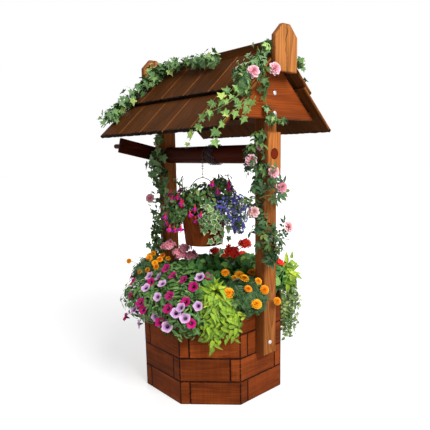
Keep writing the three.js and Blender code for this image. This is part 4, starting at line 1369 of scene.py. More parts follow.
def in_the_way(points, of_tub=False):
    """True for places inside or too near to timber, roller, chain and the crank's path."""
    x, y, z = points.T
    far, wide = np.abs(x), np.abs(y)
    blocked = (far > ROOM_X) | (y > ROOM_Y)
    # posts and bearing boards
    at_post = wide < BESIDE_POST
    blocked |= between(far, POST_INNER - CLEAR, POST_OUTER + CLEAR) & at_post & (z > POST_FOOT)
    at_bearing = np.abs(z - BEARING_MIDDLE) < BEARING_REACH
    blocked |= between(far, END_INNER, END_OUTER + CLEAR) & at_post & at_bearing
    # roof boards with their battens, gables, ridge board and pickets
    above = (wide - EAVE_REACH) * RISE + (z - EAVE_Z) * RUN
    along = (EAVE_REACH - wide) * RUN + (z - EAVE_Z) * RISE
    in_roof = (far < ROOF_HALF + CLEAR) & (above < CLEAR + 0.02 * (along > LAP_FROM - 0.01))
    blocked |= in_roof & (above > -UNDER_ROOF) & (along > -CLEAR)
    in_gable = between(far, GABLE_INNER, GABLE_OUTER) & (z > GABLE_BOTTOM - CLEAR)
    blocked |= in_roof & (above < 0) & in_gable
    in_ridge = (wide < BESIDE_RIDGE) & between(z, RIDGE_BOTTOM, RIDGE_TOP + CLEAR)
    blocked |= in_ridge & (far < ROOF_HALF)
    in_picket = (wide < BESIDE_PICKET) & (z > PICKET_FOOT)
    blocked |= in_picket & between(far, ROOF_HALF - CLEAR, ROOF_HALF + PICKET_THICK + CLEAR)
    # roller, the crank with its path, and well
    blocked |= (np.hypot(y, z - AXLE_Z) < ROUND_ROLLER) & (far < POST_INNER)
    by_crank = (x < CRANK_INNER) & (y < CRANK_SIDE) & between(z, CRANK_LOW, CRANK_HIGH)
    blocked |= by_crank & (z < 1.52 - 0.3 * y)
    sides = np.arange(8) * WALL_TURN
    out = np.max(x[:, None] * np.cos(sides) + y[:, None] * np.sin(sides), axis=1)
    blocked |= (out < WELL_APOTHEM + ROUND_WELL) & (z < WELL_TOP + ROUND_WELL)
    reach = np.hypot(x - HANG.x, y - HANG.y)
    if of_tub:
        # the tub's own wall and bail, and the winding over them
        arch = np.hypot(x - HANG.x, np.maximum(z - BAIL_BASE, 0))
        blocked |= (reach < ROUND_TUB) & (z < TUB_RIM + CLEAR)
        at_bail = (np.abs(arch - BAIL_RADIUS) < BESIDE_BAIL) & (np.abs(y - HANG.y) < ACROSS_BAIL)
        blocked |= at_bail & (z > BAIL_FOOT) | (z > UNDER_WINDING)
    else:
        blocked |= (reach < SWING_ROOM) & between(z, TUB_BOTTOM - 0.030, TUB_RIM + 0.15)
        blocked |= (reach < RISING_ROOM) & between(z, TUB_BOTTOM + 0.08, RISEN_TOP)
    return blocked


def gather(count, rounds, of_tub, draw):
    """Draws places and their ways out until enough of them are clear."""
    places, outs = np.empty((0, 3)), np.empty((0, 3))
    for _ in range(rounds):
        if len(places) >= count:
            break
        more, ways, keep = draw(2 * count)
        keep = keep & ~in_the_way(more, of_tub)
        places, outs = np.vstack((places, more[keep])), np.vstack((outs, ways[keep]))
    return places[:count], outs[:count]


def over_lobes(chance, lobes, count, depth, proud=1.0, of_tub=False):
    """Places over rounded lobes, down to a depth share, with the way out at each."""
    middles, radii = lobes[:, 0], lobes[:, 1] * proud
    skin = radii[:, 0] * radii[:, 1] + radii[:, 1] * radii[:, 2] + radii[:, 0] * radii[:, 2]

    def draw(tries):
        pick = chance.choice(len(lobes), size=tries, p=skin / skin.sum())
        way = random_ways(chance, tries)
        sunk = 1 - depth * chance.random(tries) ** 1.6
        places = middles[pick] + radii[pick] * way * sunk[:, None]
        inside = np.linalg.norm((places[:, None] - middles) / radii, axis=2)
        inside[np.arange(tries), pick] = 9
        return places, unit(way / radii[pick]), inside.min(axis=1) > 1 - depth

    return gather(count, 40, of_tub, draw)


def clear_of(spread, flowers, gap):
    """The places that leave each flower's face open."""
    places, outs = spread
    apart = np.linalg.norm(places[:, None] - flowers[None], axis=2).min(axis=1) > gap
    return places[apart], outs[apart]


def smooth_route(points, steps=16):
    """A smooth line through the points."""
    points = np.array(points, float)
    ends = [2 * points[0] - points[1], *points, 2 * points[-1] - points[-2]]
    line = []
    for a, b, c, d in zip(ends, ends[1:], ends[2:], ends[3:]):
        for t in (i / steps for i in range(steps)):
            bend = 2 * b + (c - a) * t + (2 * a - 5 * b + 4 * c - d) * t**2
            line.append(0.5 * (bend + (3 * b - a - 3 * c + d) * t**3))
    return np.array(line + [points[-1]])


def smooth_routes(routes, steps):
    return [smooth_route(route, steps) for route in routes]


def along_route(chance, route, radius, count):
    """Places scattered round a climbing stem's route, densest near it and fewer at its ends."""
    line = smooth_route(route)

    def draw(tries):
        pick = chance.integers(0, len(line), tries)
        share = pick / len(line)
        way = random_ways(chance, tries)
        girth = radius * (1 + 0.35 * np.sin(share * 19 + radius * 90))
        girth = girth * np.clip(4 * np.minimum(share + 0.15, 1.08 - share), 0.25, 1)
        places = line[pick] + way * (girth * chance.random(tries) ** 0.6)[:, None]
        return places, way, np.full(tries, True)

    return gather(count, 30, False, draw)


def leaf_frames(chance, outs, up=0.5, loose=0.5, drop=0.6, outward=0.4, stray=0.9):
    """Turns whose columns are each leaf's across, tip and upper-side ways."""
    count = len(outs)
    face = unit(outs + np.array((0, 0, up)) + loose * random_ways(chance, count))
    tip = outward * outs + np.array((0, 0, -drop)) + stray * random_ways(chance, count)
    across = unit(np.cross(tip, face))
    return np.stack((across, np.cross(face, across), face), axis=2)


def grow(name, groups, material, body="well", *nodes):
    """Builds one piece from groups of (pattern, turns, sizes, places, tints)."""
    points, faces, leaf, part, tint = [], [], [], [], []
    base = 0
    for pattern, turns, sizes, places, tints in groups:
        count, n = len(places), len(pattern.points)
        moved = np.einsum("kij,nj->kni", turns * np.reshape(sizes, (-1, 1, 1)), pattern.points)
        points.append((moved + places[:, None, :]).reshape(-1, 3))
        for start in range(base, base + count * n, n):
            faces += [tuple(i + start for i in face) for face in pattern.faces]
        leaf.append(np.tile(pattern.points, (count, 1)))
        part.append(np.tile(pattern.part, count))
        tint.append(np.repeat(tints, n))
        base += count * n
    mesh = bpy.data.meshes.new(name)
    mesh.from_pydata(np.vstack(points).tolist(), [], faces)
    mesh.shade_smooth()
    for trait, values in (("leaf", leaf), ("part", part), ("tint", tint)):
        put_trait(mesh, trait, np.concatenate(values))
    piece = bpy.data.objects.new(name, mesh)
    bpy.context.scene.collection.objects.link(piece)
    settle(piece, body, material, *nodes)


def leaf_group(chance, kind, spread, size, **ways):
    places, outs = spread
    turns = leaf_frames(chance, outs, **ways)
    sizes = size * (1 + 0.3 * chance.uniform(-1, 1, len(places)))
    # a leaf is held at its middle by the place that was picked for it
    held = places - np.einsum("kij,j->ki", turns, (0, 0.45, 0)) * sizes[:, None]
    return PATTERNS[kind], turns, sizes, held, chance.random(len(places))


def leaf_finish(name, young, grown, old, vein, rim=None, veins=7.0, roughness=0.42):
    """A leaf's skin: its own green, a paler midrib and side veins, mottling and a coloured rim."""
    young, grown, old, vein = (linear(*colour) for colour in (young, grown, old, vein))
    f = Finish(name, "leaves")
    tint, leaf = f.trait("tint"), f.trait("leaf", "Vector")
    x, y, _ = f.split(leaf)
    side = f.math("ABSOLUTE", x)
    apart = f.vector("ADD", leaf, f.join(f.times(tint, 37.0), tint, 0.0))
    mottle = f.noise(apart, 5.0, 3.0)
    base = f.ramp(tint, [(0.0, old), (0.45, grown), (0.8, grown), (1.0, young)])
    base = f.shaded(base, f.span(mottle, 0.3, 0.7, 0.82, 1.16))
    if rim is not None:
        uneven = f.plus(f.trait("part"), f.span(f.noise(apart, 3.5), 0.3, 0.7, -0.28, 0.28))
        base = f.mix(f.times(f.span(uneven, 0.70, 0.86), 0.9), base, linear(*rim))
    midrib = f.span(side, 0.035, 0.008)
    ladder = f.math("FRACT", f.times(f.minus(y, f.times(side, 0.7)), veins))
    ribs = f.span(f.math("ABSOLUTE", f.minus(ladder, 0.5)), 0.10, 0.02)
    lines = f.math("MAXIMUM", midrib, f.times(ribs, 0.55))
    f.bump(f.minus(f.times(mottle, 0.5), lines), 0.3, 0.002)
    rough = f.span(mottle, 0.3, 0.7, roughness - 0.05, roughness + 0.12)
    return f.finish(f.mix(f.times(lines, 0.5), base, vein), rough, 0.3)


def petal_finish(name, stops, tints=None, tint_share=0.5, lines=None):
    """A petal's skin: colours from the throat to the rim, a tone of its own and fine veins."""
    f = Finish(name, "leaves")
    tint, leaf, part = f.trait("tint"), f.trait("leaf", "Vector"), f.trait("part")
    x, y, _ = f.split(leaf)
    uneven = f.plus(part, f.span(f.noise(leaf, 9.0), 0.3, 0.7, -0.05, 0.05))
    colour = f.ramp(uneven, [(at, linear(*tone)) for at, tone in stops])
    if tints:
        own = f.ramp(tint, [(at, linear(*tone)) for at, tone in tints])
        colour = f.mix(tint_share, colour, own)
    if lines is not None:
        angle = f.times(f.math("ARCTAN2", y, x), 15.0)
        vein = f.times(f.span(f.math("SINE", angle), 0.4, 1.0), f.span(part, 0.95, 0.3))
        colour = f.mix(f.times(vein, 0.6), colour, linear(*lines))
    tone = f.span(f.math("FRACT", f.times(tint, 7.7)), 0.0, 1.0, 0.86, 1.10)
    grain = f.noise(leaf, 30.0)
    f.bump(grain, 0.2, 0.001)
    return f.finish(f.shaded(colour, tone), f.span(grain, 0.3, 0.7, 0.49, 0.65), 0.2)


# young, grown and old leaves, then their veins
IVY_GREEN = leaf_finish(
    "ivy_leaves", (168, 196, 104), (104, 144, 84), (58, 98, 56), (182, 204, 150)
)
PALE_IVY = leaf_finish(
    "pale_ivy_leaves", (184, 204, 98), (116, 156, 76), (70, 114, 56), (186, 206, 140)
)
VARIEGATED = leaf_finish(
    "variegated_ivy_leaves", (128, 172, 92), (78, 134, 72), (50, 98, 54), (150, 190, 124),
    rim=(226, 236, 186),
)
ROSE_GREEN = leaf_finish("rose_leaves", (114, 138, 64), (60, 94, 54), (32, 60, 38), (118, 146, 92))
FUCHSIA_GREEN = leaf_finish(
    "fuchsia_leaves", (150, 178, 92), (86, 130, 66), (48, 88, 48), (150, 170, 110)
)
BED_GREEN = leaf_finish(
    "bedding_leaves", (146, 180, 92), (90, 136, 66), (52, 94, 48), (150, 180, 112)
)
TRAIL_GREEN = leaf_finish(
    "trailing_leaves", (188, 200, 116), (122, 152, 84), (66, 104, 56), (176, 196, 130)
)
ROUND_GREEN = leaf_finish(
    "round_leaves", (132, 174, 84), (76, 128, 60), (40, 82, 42), (128, 168, 96), veins=4.0,
    roughness=0.6,
)
FERN_GREEN = leaf_finish(
    "ferny_leaves", (120, 152, 78), (64, 102, 54), (36, 66, 38), (104, 134, 74)
)
LIME_GREEN = leaf_finish(
    "lime_leaves", (212, 228, 66), (140, 178, 38), (80, 122, 28), (190, 214, 104), veins=5.0
)
STEM_GREEN = leaf_finish(
    "green_stems", (150, 160, 90), (112, 128, 66), (84, 100, 52), (150, 160, 100)
)
STEM_BROWN = leaf_finish("woody_stems", (120, 96, 60), (92, 66, 40), (66, 44, 28), (110, 90, 60))
MAGENTA = petal_finish(
    "magenta_petals",
    [(0.0, (40, 4, 24)), (0.24, (84, 4, 52)), (0.38, (176, 10, 98)), (1.0, (208, 24, 128))],
    lines=(130, 4, 76),
)
LILAC = petal_finish(
    "lilac_petals",
    [(0.0, (44, 10, 44)), (0.24, (96, 26, 96)), (0.40, (206, 146, 208)), (1.0, (240, 206, 240))],
    lines=(132, 44, 132),
)
ORANGE = petal_finish(
    "orange_petals",
    [(0.0, (226, 96, 4)), (0.5, (250, 142, 14)), (1.0, (255, 188, 40))],
    tints=[(0.0, (240, 124, 10)), (1.0, (255, 190, 30))],
)
PINK_HEADS = petal_finish(
    "pink_heads", [(0.0, (255, 92, 126)), (0.5, (255, 136, 160)), (1.0, (255, 216, 226))]
)
RED_HEADS = petal_finish(
    "red_heads", [(0.0, (196, 12, 12)), (0.3, (250, 30, 22)), (1.0, (255, 76, 54))]
)
ROSE_PETALS = petal_finish(
    "rose_petals",
    [
        (0.0, (236, 132, 110)),
        (0.35, (240, 144, 162)),
        (0.7, (249, 184, 198)),
        (1.0, (255, 232, 236)),
    ],
    tints=[
        (0.0, (254, 226, 206)),
        (0.35, (244, 160, 184)),
        (0.7, (248, 186, 200)),
        (1.0, (230, 96, 132)),
    ],
    tint_share=0.42,
)
FUCHSIA_PETALS = petal_finish(
    "fuchsia_petals",
    [(0.0, (255, 48, 100)), (0.45, (255, 44, 96)), (0.6, (168, 44, 186)), (1.0, (158, 36, 184))],
)
BLUE_PETALS = petal_finish(
    "blue_petals",
    [(0.0, (232, 232, 250)), (0.25, (122, 114, 232)), (1.0, (126, 116, 238))],
    tints=[(0.0, (98, 86, 214)), (1.0, (158, 150, 244))],
)

def lobes_about(shares, middle, scale):
    """Rounded masses: the middle and the three radii of each, from shares of a size."""
    lobes = np.array(shares, float).reshape(-1, 2, 3) * scale
    lobes[:, 0] += middle
    return lobes


WELL_LOBES = lobes_about(
    [
        (0, 0, 0.03, 0.84, 0.84, 0.46),
        (-0.22, -0.96, 0, 0.58, 0.34, 0.3),
        (0.43, -0.96, -0.03, 0.42, 0.3, 0.32),
        (-0.14, -0.6, 0.22, 0.56, 0.42, 0.27),
        (-0.66, -0.66, 0.3, 0.3, 0.3, 0.23),
        (0.96, -0.27, 0.17, 0.3, 0.36, 0.25),
        (0.48, 0.36, 0.22, 0.46, 0.46, 0.29),
        (0.84, 0.86, -0.34, 0.12, 0.12, 0.44),
        (-0.36, 0.6, 0.1, 0.55, 0.43, 0.32),
        (0.2, 0.85, 0, 0.5, 0.26, 0.26),
        (-0.85, 0, 0.08, 0.3, 0.5, 0.26),
    ],
    (0, 0, WELL_TOP),
    WELL_APOTHEM,
)
TUB_LOBES = lobes_about(
    [
        (0, 0, 0.1, 1.05, 1.05, 0.5),
        (-0.66, -0.74, 0.24, 0.74, 0.74, 0.8),
        (-0.72, -1.08, -0.34, 0.37, 0.37, 0.52),
        (-0.44, -0.44, 0.66, 0.44, 0.44, 0.44),
        (0.62, 0.56, 0.95, 0.6, 0.56, 0.62),
        (1.1, 0.82, 0.1, 0.74, 0.74, 0.8),
        (1.3, 0.93, -0.5, 0.33, 0.33, 0.45),
        (0.9, -0.45, -0.06, 0.5, 0.5, 0.66),
    ],
    (HANG.x, HANG.y, TUB_RIM),
    TUB_RIM_RADIUS,
)


def mm(points):
    return np.array(points, float) * MM


def routes(*lines):
    return [mm(line) for line in lines]


def blooms(chance, kind, places, size, middle, up=0.35, loose=0.35, vary=0.12):
    """Flowers at measured places, facing away from the middle of their plant."""
    outs = unit(places - np.array(middle))
    turns = leaf_frames(chance, outs, up=up, loose=loose, drop=0.3, outward=0.0)
    sizes = size * (1 + vary * chance.uniform(-1, 1, len(places)))
    return PATTERNS[kind], turns, sizes, places, chance.random(len(places))


def hidden_side(chance, lobes, count):
    """Places for more flowers on the sides that the photograph doesn't show."""
    places, outs = over_lobes(chance, lobes, 6 * count, 0.02, 1.05)
    away = (places @ np.array((0.748, -0.663, 0.0)) < 0.02) & (outs[:, 2] > -0.15)
    return places[away][:count]


def stem_lines(places, lobes, sink=0.8):
    """A bent line from each flower down into the nearest rounded mass."""
    lines = []
    for place in places:
        shares = np.linalg.norm((place - lobes[:, 0]) / lobes[:, 1], axis=1)
        nearest = int(np.argmin(shares))
        middle = lobes[nearest, 0]
        end = middle + (place - middle) * sink / max(shares[nearest], 1.0)
        bend = (place + end) / 2 + np.array((0, 0, 0.12 * np.linalg.norm(place - end)))
        lines.append(smooth_route([place, bend, end], 3))
    return lines


def grow_stems(name, lines, radius, material=STEM_GREEN, body="well", tint=0.5):
    """Stems along the lines, thinning towards each line's end."""
    turns, feet = [], []
    for line in lines:
        for i, (a, b) in enumerate(zip(line, line[1:])):
            length = np.linalg.norm(b - a)
            along = (b - a) / max(length, 1e-9)
            side = unit(np.cross(along, (0.3, 0.5, 0.81)))
            girth = radius * (1.15 - 0.5 * i / len(line))
            columns = (side * girth, np.cross(along, side) * girth, along * length * 1.06)
            turns.append(np.column_stack(columns))
            feet.append(a)
    ones = np.ones(len(feet))
    stems = (PATTERNS["stalk"], np.array(turns), ones, np.array(feet), tint * ones)
    grow(name, [stems], material, body)


def strung(chance, kind, lines, radius, count, size, **ways):
    """Leaves strung along several climbing or trailing routes."""
    groups = []
    lengths = [
        np.linalg.norm(np.diff(line, axis=0), axis=1).sum() for line in smooth_routes(lines, 16)
    ]
    for line, length in zip(lines, lengths):
        share = max(3, round(count * length / sum(lengths)))
        spread = along_route(chance, line, radius, share)
        groups.append(leaf_group(chance, kind, spread, size, **ways))
    return groups


def in_turn(chance, kind, lines, gap, size, splay, loose, middle=(0, 0, 0), of_tub=False):
    """Leaves set left and right in turn along stems, each leaning on towards its stem's tip."""
    groups = []
    for line in smooth_routes(lines, 16):
        run = np.append(0, np.cumsum(np.linalg.norm(np.diff(line, axis=0), axis=1)))
        at = np.arange(0.5 * gap, run[-1], gap)
        here, back = (
            np.column_stack([np.interp(place, run, axis) for axis in line.T])
            for place in (at, at - 0.004)
        )
        out = unit((here - np.array(middle)) * (1, 1, 0) + (0, 0, 0.1))
        ahead = unit(here - back)
        side = unit(np.cross(ahead, out)) * np.where(np.arange(len(at)) % 2, 1, -1)[:, None]
        tip = unit(ahead + splay * side + loose * random_ways(chance, len(at)))
        across = unit(np.cross(tip, out + loose * random_ways(chance, len(at))))
        turns = np.stack((across, tip, np.cross(across, tip)), axis=2)
        sizes = size * chance.uniform(0.7, 1.2, len(at))
        keep = ~(in_the_way(here, of_tub) | in_the_way(here + tip * 0.8 * size, of_tub))
        places = (here + tip * 0.1 * size)[keep]
        tints = chance.random(keep.sum())
        groups.append((PATTERNS[kind], turns[keep], sizes[keep], places, tints))
    return groups


def beside(chance, lines, spread, copies=1):
    """More stems that start with each route and part from it towards their tips."""
    more = []
    for line in lines:
        parting = np.linspace(0, 1, len(line))[:, None]
        more += [line + parting * spread * chance.normal(size=3) for _ in range(copies)]
    return lines + more


# ---- flowers, vines and sprays at their places, in millimetres ----
MAGENTA_AT = mm([
    (-131, -533, 611), (-57, -436, 685), (-41, -335, 754), (117, -329, 714), (169, -299, 676),
    (170, -185, 716), (176, -471, 663), (213, -513, 610), (285, -447, 648), (158, -527, 525),
    (341, -457, 544), (-186, -539, 467), (-336, -397, 662), (-218, -456, 660), (3, -535, 555),
    (-22, -535, 593), (50, -354, 732),
])
LILAC_AT = mm([
    (-42, -481, 665), (-32, -400, 716), (68, -477, 633), (24, -411, 689), (282, -479, 623),
    (271, -502, 596), (318, -479, 574), (215, -522, 510), (339, -407, 627), (144, -229, 715),
    (-77, -545, 541), (-90, -509, 438), (78, -506, 527), (-120, -404, 706),
])
MARIGOLD_AT = mm([
    (-351, -396, 757), (-300, -245, 789), (-253, -308, 779), (-262, -200, 773), (-202, -264, 767),
    (-236, -175, 755), (-189, -311, 754), (-192, -364, 720), (-127, -343, 746), (-232, -394, 707),
    (215, -91, 725), (271, -72, 699), (268, -28, 706), (415, -135, 737), (314, 29, 720),
    (465, -77, 721), (483, -175, 701), (412, -250, 680), (510, -77, 682), (524, -156, 623),
    (521, 16, 598), (325, 60, 731),
])
PINK_AT = mm([
    (-197, -195, 845), (-163, -156, 799), (-106, -92, 774), (-128, -118, 826), (-147, -138, 782),
])
PINK_SIZES = np.array((0.088, 0.072, 0.096, 0.084, 0.070))
RED_AT = mm([
    (150, 17, 818), (171, 118, 859), (-29, 42, 798), (313, 278, 740), (20, 240, 748),
    (-150, 170, 750),
])
RED_SIZES = np.array((0.108, 0.092, 0.068, 0.060, 0.080, 0.076))
FUCHSIA_AT = mm([
    (-140, -203, 1204), (-79, -237, 1176), (-56, -212, 1189), (-109, -160, 1226), (-14, -209, 1150),
    (-23, -214, 1160), (37, -206, 1092), (65, -184, 1055), (102, -167, 1089), (40, -59, 1188),
    (150, -84, 1222), (150, 0, 1240), (142, -111, 1268), (0, 2, 1252), (-115, -264, 1074),
    (-93, -255, 1000), (-71, -242, 994), (-54, -201, 1000), (-140, -251, 1030), (132, 34, 1262),
    (45, -167, 1126), (-100, 60, 1150), (-60, 110, 1130), (20, 120, 1200),
])
TRAILS = routes(
    [
        (285, 288, 595), (302, 308, 548), (318, 326, 488), (333, 342, 408), (330, 340, 341),
        (336, 346, 259),
    ],
    [(285, 288, 582), (304, 308, 489), (312, 318, 389), (310, 316, 294)],
    [(293, 298, 601), (327, 336, 567), (353, 365, 520), (366, 380, 467), (349, 361, 427)],
    [(285, 288, 608), (314, 322, 581), (340, 350, 541), (340, 351, 468), (345, 356, 381)],
    [(301, 304, 542), (305, 309, 456), (308, 314, 369)],
    [(120, 400, 560), (128, 440, 500), (122, 446, 400), (124, 442, 330)],
)
RIGHT_LIME = [
    mm([(276, 269, 649), shoulder, end])
    for shoulder, end in (
        ((325, 325, 655), (362, 368, 622)), ((320, 325, 685), (352, 357, 690)),
        ((305, 305, 692), (328, 330, 710)), ((290, 288, 692), (303, 301, 714)),
        ((325, 330, 672), (362, 367, 661)), ((315, 315, 640), (342, 345, 597)),
        ((300, 330, 680), (310, 375, 650)), ((250, 330, 700), (240, 378, 690)),
    )
]
LIME_CROWN = (330, -270, 675)
LIME_ENDS = [
    (311, -398, 574), (301, -406, 506), (308, -400, 439), (333, -380, 400), (356, -358, 372),
    (378, -335, 360), (403, -305, 388), (424, -274, 396), (452, -225, 385), (460, -209, 434),
    (471, -182, 487), (458, -213, 548), (443, -243, 613), (345, -369, 637), (324, -387, 619),
    (369, -373, 494), (394, -346, 460), (421, -313, 469), (446, -277, 478), (422, -312, 548),
    (389, -353, 560), (446, -276, 556), (319, -345, 695), (342, -322, 716), (373, -286, 716),
    (389, -264, 680),
]
IVY_TRAILS = routes(
    [(111, -148, 1123), (117, -145, 1065), (120, -141, 994)],
    [(137, -102, 1096), (144, -96, 1026), (145, -98, 954), (138, -118, 884)],
    [(151, -51, 1112), (160, -24, 1036), (158, -10, 969), (150, 0, 900)],
    [(112, -141, 1106), (107, -157, 1024), (112, -152, 988)],
    [(146, -78, 1114), (152, -57, 1017), (152, -74, 935), (152, -61, 861)],
    [(126, -120, 1120), (130, -126, 1060), (128, -126, 1010)],
)
SPRAYS = routes(
    [(-54, -151, 1186), (-82, -182, 1244), (-93, -195, 1261)],
    [(-67, -166, 1197), (-70, -169, 1250), (-65, -164, 1271)],
    [(20, 0, 1188), (60, 0, 1250), (90, 12, 1280), (116, 38, 1286), (124, 50, 1274)],
    [(49, 10, 1227), (67, 30, 1262), (56, 44, 1280)],
    [(-68, -167, 1129), (-106, -209, 1164), (-125, -231, 1192), (-134, -242, 1172)],
    [(-73, -173, 1102), (-105, -209, 1083), (-132, -239, 1070), (-146, -255, 1057)],
    [(-70, -168, 1068), (-106, -210, 1042), (-138, -245, 1029)],
    [(0, 0, 1180), (-30, 60, 1240), (-60, 90, 1250)],
    [(0, 0, 1120), (-70, 80, 1160), (-110, 110, 1130)],
)
FAR_POST_ROUTES = routes(
    [
        (-425, -72, 1537), (-437, -85, 1433), (-462, -108, 1329), (-447, -94, 1235),
        (-428, -76, 1147), (-440, -84, 1059), (-474, -112, 964), (-461, -106, 867),
        (-481, -118, 783), (-470, -112, 690),
    ],
    [(-441, -91, 1380), (-472, -110, 1345), (-480, -112, 1300)],
    [(-420, -68, 1470), (-412, -66, 1380), (-418, -70, 1290), (-412, -66, 1180), (-420, -70, 1090)],
    [(-430, -74, 1010), (-442, -84, 920), (-436, -80, 820), (-444, -86, 730)],
    [(-434, -84, 1112), (-452, -106, 1096), (-466, -124, 1104), (-468, -132, 1120)],
)
RIDGE_ROUTES = routes(
    [
        (-556, -425, 1592), (-540, -370, 1655), (-505, -300, 1722), (-470, -225, 1795),
        (-440, -140, 1872), (-395, -80, 1934), (-300, -62, 1958),
    ],
    [(-395, -80, 1934), (-204, -66, 1959), (-41, -80, 1944), (78, -90, 1938), (190, -104, 1926)],
    [(-520, -330, 1690), (-560, -360, 1640), (-575, -400, 1590)],
    [(-450, -170, 1850), (-390, -180, 1850), (-330, -150, 1880)],
)
RIDGE_TENDRIL = mm([(-300, -20, 1975), (-330, 0, 2010), (-345, 5, 2030)])
OVER_RIDGE = mm([(-420, 60, 1935), (-300, 75, 1925), (-120, 60, 1940)])
GABLE_ROUTES = routes(
    [(524, -65, 1950), (548, -130, 1890), (545, -205, 1822), (580, -193, 1790), (585, -136, 1765)],
    [(545, -205, 1822), (490, -232, 1806), (470, -240, 1800)],
    [(560, -240, 1790), (580, -294, 1745), (585, -270, 1706)],
)
PALE_ROUTES = routes(
    [(574, -242, 1727), (578, -322, 1685), (572, -399, 1637), (520, -440, 1608)],
    [(580, -256, 1681), (582, -322, 1632), (580, -387, 1593), (576, -450, 1538), (570, -482, 1480)],
    [
        (549, -289, 1745), (533, -352, 1692), (489, -400, 1648), (500, -448, 1604),
        (496, -500, 1556), (440, -512, 1480),
    ],
    [(580, -215, 1683), (582, -270, 1616), (580, -303, 1578)],
)
FACE_ROUTES = routes(
    [(540, -132, 1745), (536, -100, 1690), (535, -88, 1632), (532, -70, 1582), (525, -30, 1572)],
    [(532, -70, 1582), (540, 10, 1584), (540, 50, 1570)],
)
RIGHT_ROUTES = routes([(588, 95, 1885), (592, 125, 1850), (590, 165, 1800)])
NEAR_POST_ROUTES = routes(
    [
        (487, -74, 1517), (456, -105, 1441), (449, -113, 1380), (480, -84, 1317), (473, -90, 1233),
        (466, -98, 1170), (484, -82, 1089), (487, -78, 1019), (508, -62, 964), (535, -38, 897),
        (520, -62, 831),
    ],
    [(480, -84, 1290), (520, -62, 1300), (548, -50, 1312)],
    [(490, -80, 1215), (540, -50, 1225), (572, -20, 1238)],
    [(480, -84, 1180), (530, -58, 1196), (589, 20, 1186)],
    [(500, -66, 985), (550, -46, 975), (594, 30, 955)],
    [(515, -60, 965), (565, -30, 1000), (596, 12, 1022)],
)
ROSES = [
    # place, way it faces, tone from peach to deep pink
    ((472, -136, 1380), (0.6, -0.8, 0.1), 0.45),
    ((548, -48, 1317), (0.85, -0.45, 0.1), 0.75),
    ((575, -16, 1238), (0.8, -0.2, 0.2), 0.97),
    ((481, -128, 1110), (0.6, -0.8, 0.1), 0.05),
    ((590, 21, 1026), (0.8, -0.1, 0.3), 0.12),
    ((588, -240, 1790), (0.7, -0.6, 0.2), 0.6),
    ((599, -103, 1816), (0.8, -0.5, 0.1), 0.72),
    ((-470, -136, 1128), (0.45, -0.85, 0.35), 0.62),
    ((492, -92, 1448), (0.5, -0.8, 0.1), 0.4),
]


def plant_petunias(chance, well):
    lobes = WELL_LOBES[[1, 2, 3, 10, 8]]
    magenta = np.vstack((MAGENTA_AT, hidden_side(chance, WELL_LOBES[[10, 8]], 12)))
    lilac = np.vstack((LILAC_AT, hidden_side(chance, WELL_LOBES[[10, 9]], 10)))
    flowers = np.vstack((magenta, lilac))
    bed = clear_of(over_lobes(chance, lobes, 3000, 0.34), flowers, 0.022)
    loose = clear_of(over_lobes(chance, WELL_LOBES[[1, 2, 10]], 380, 0.10, 1.12), flowers, 0.030)
    groups = [
        leaf_group(chance, "oblong", bed, 0.038, up=0.4, drop=0.2, outward=0.7),
        leaf_group(chance, "oblong", loose, 0.032, up=0.3, drop=0.2, outward=0.9),
    ]
    grow("petunia_leaves", groups, BED_GREEN)
    grow("magenta_petunias", [blooms(chance, "petunia", magenta, 0.058, well)], MAGENTA)
    grow("lilac_petunias", [blooms(chance, "petunia", lilac, 0.056, well)], LILAC)
    grow_stems("petunia_stems", stem_lines(flowers, lobes), 0.0016)


def plant_marigolds(chance, well):
    ways = {"up": 0.4, "drop": 0.1, "outward": 1.4, "loose": 0.7}
    groups = []
    for number, count in ((4, 420), (5, 560), (8, 340)):
        spread = over_lobes(chance, WELL_LOBES[[number]], count, 0.4, 0.96)
        groups.append(leaf_group(chance, "fern", spread, 0.062, **ways))
    grow("marigold_leaves", groups, FERN_GREEN)
    places = np.vstack((MARIGOLD_AT, hidden_side(chance, WELL_LOBES[[8, 4]], 12)))
    left = places[:, 0] < 0.1
    corner = (-0.42, 0.05, 0.66)
    groups = [
        blooms(chance, "marigold", places[left], 0.042, corner, up=0.6, loose=0.5, vary=0.22),
        blooms(chance, "marigold", places[~left], 0.054, well, up=0.7, loose=0.45, vary=0.2),
    ]
    grow("marigolds", groups, ORANGE)
    grow_stems("marigold_stems", stem_lines(places, WELL_LOBES[[4, 5, 8]]), 0.0017)


def plant_geraniums(chance):
    lobes = WELL_LOBES[[0, 6]]
    ways = {"up": -0.35, "drop": 0.25, "loose": 0.75, "outward": 0.5}
    leaves = leaf_group(chance, "round", over_lobes(chance, lobes, 1300, 0.30), 0.058, **ways)
    grow("geranium_leaves", [leaves], ROUND_GREEN, "well", "well_plants")
    for name, places, sizes, finish in (
        ("pink_geraniums", PINK_AT, PINK_SIZES, PINK_HEADS),
        ("red_geraniums", RED_AT, RED_SIZES, RED_HEADS),
    ):
        turns = leaf_frames(chance, unit(places - np.array((0, 0, 0.4))), up=0.6, loose=0.3)
        heads = (PATTERNS["geranium"], turns, sizes, places, chance.random(len(places)))
        grow(name, [heads], finish)
    grow_stems("geranium_stems", stem_lines(np.vstack((PINK_AT, RED_AT)), lobes), 0.0024)


def lime_routes():
    """Stems that arch out of the crown and fall to their tips."""
    crown = np.array(LIME_CROWN, float)
    stems = []
    for i, end in enumerate(LIME_ENDS):
        end = crown + 0.92 * (np.array(end, float) - crown)
        arch = (crown + end) / 2 + np.array((26, -23, 22 + 9 * (i % 3)))
        stems.append(mm([crown, arch, end]))
    return stems


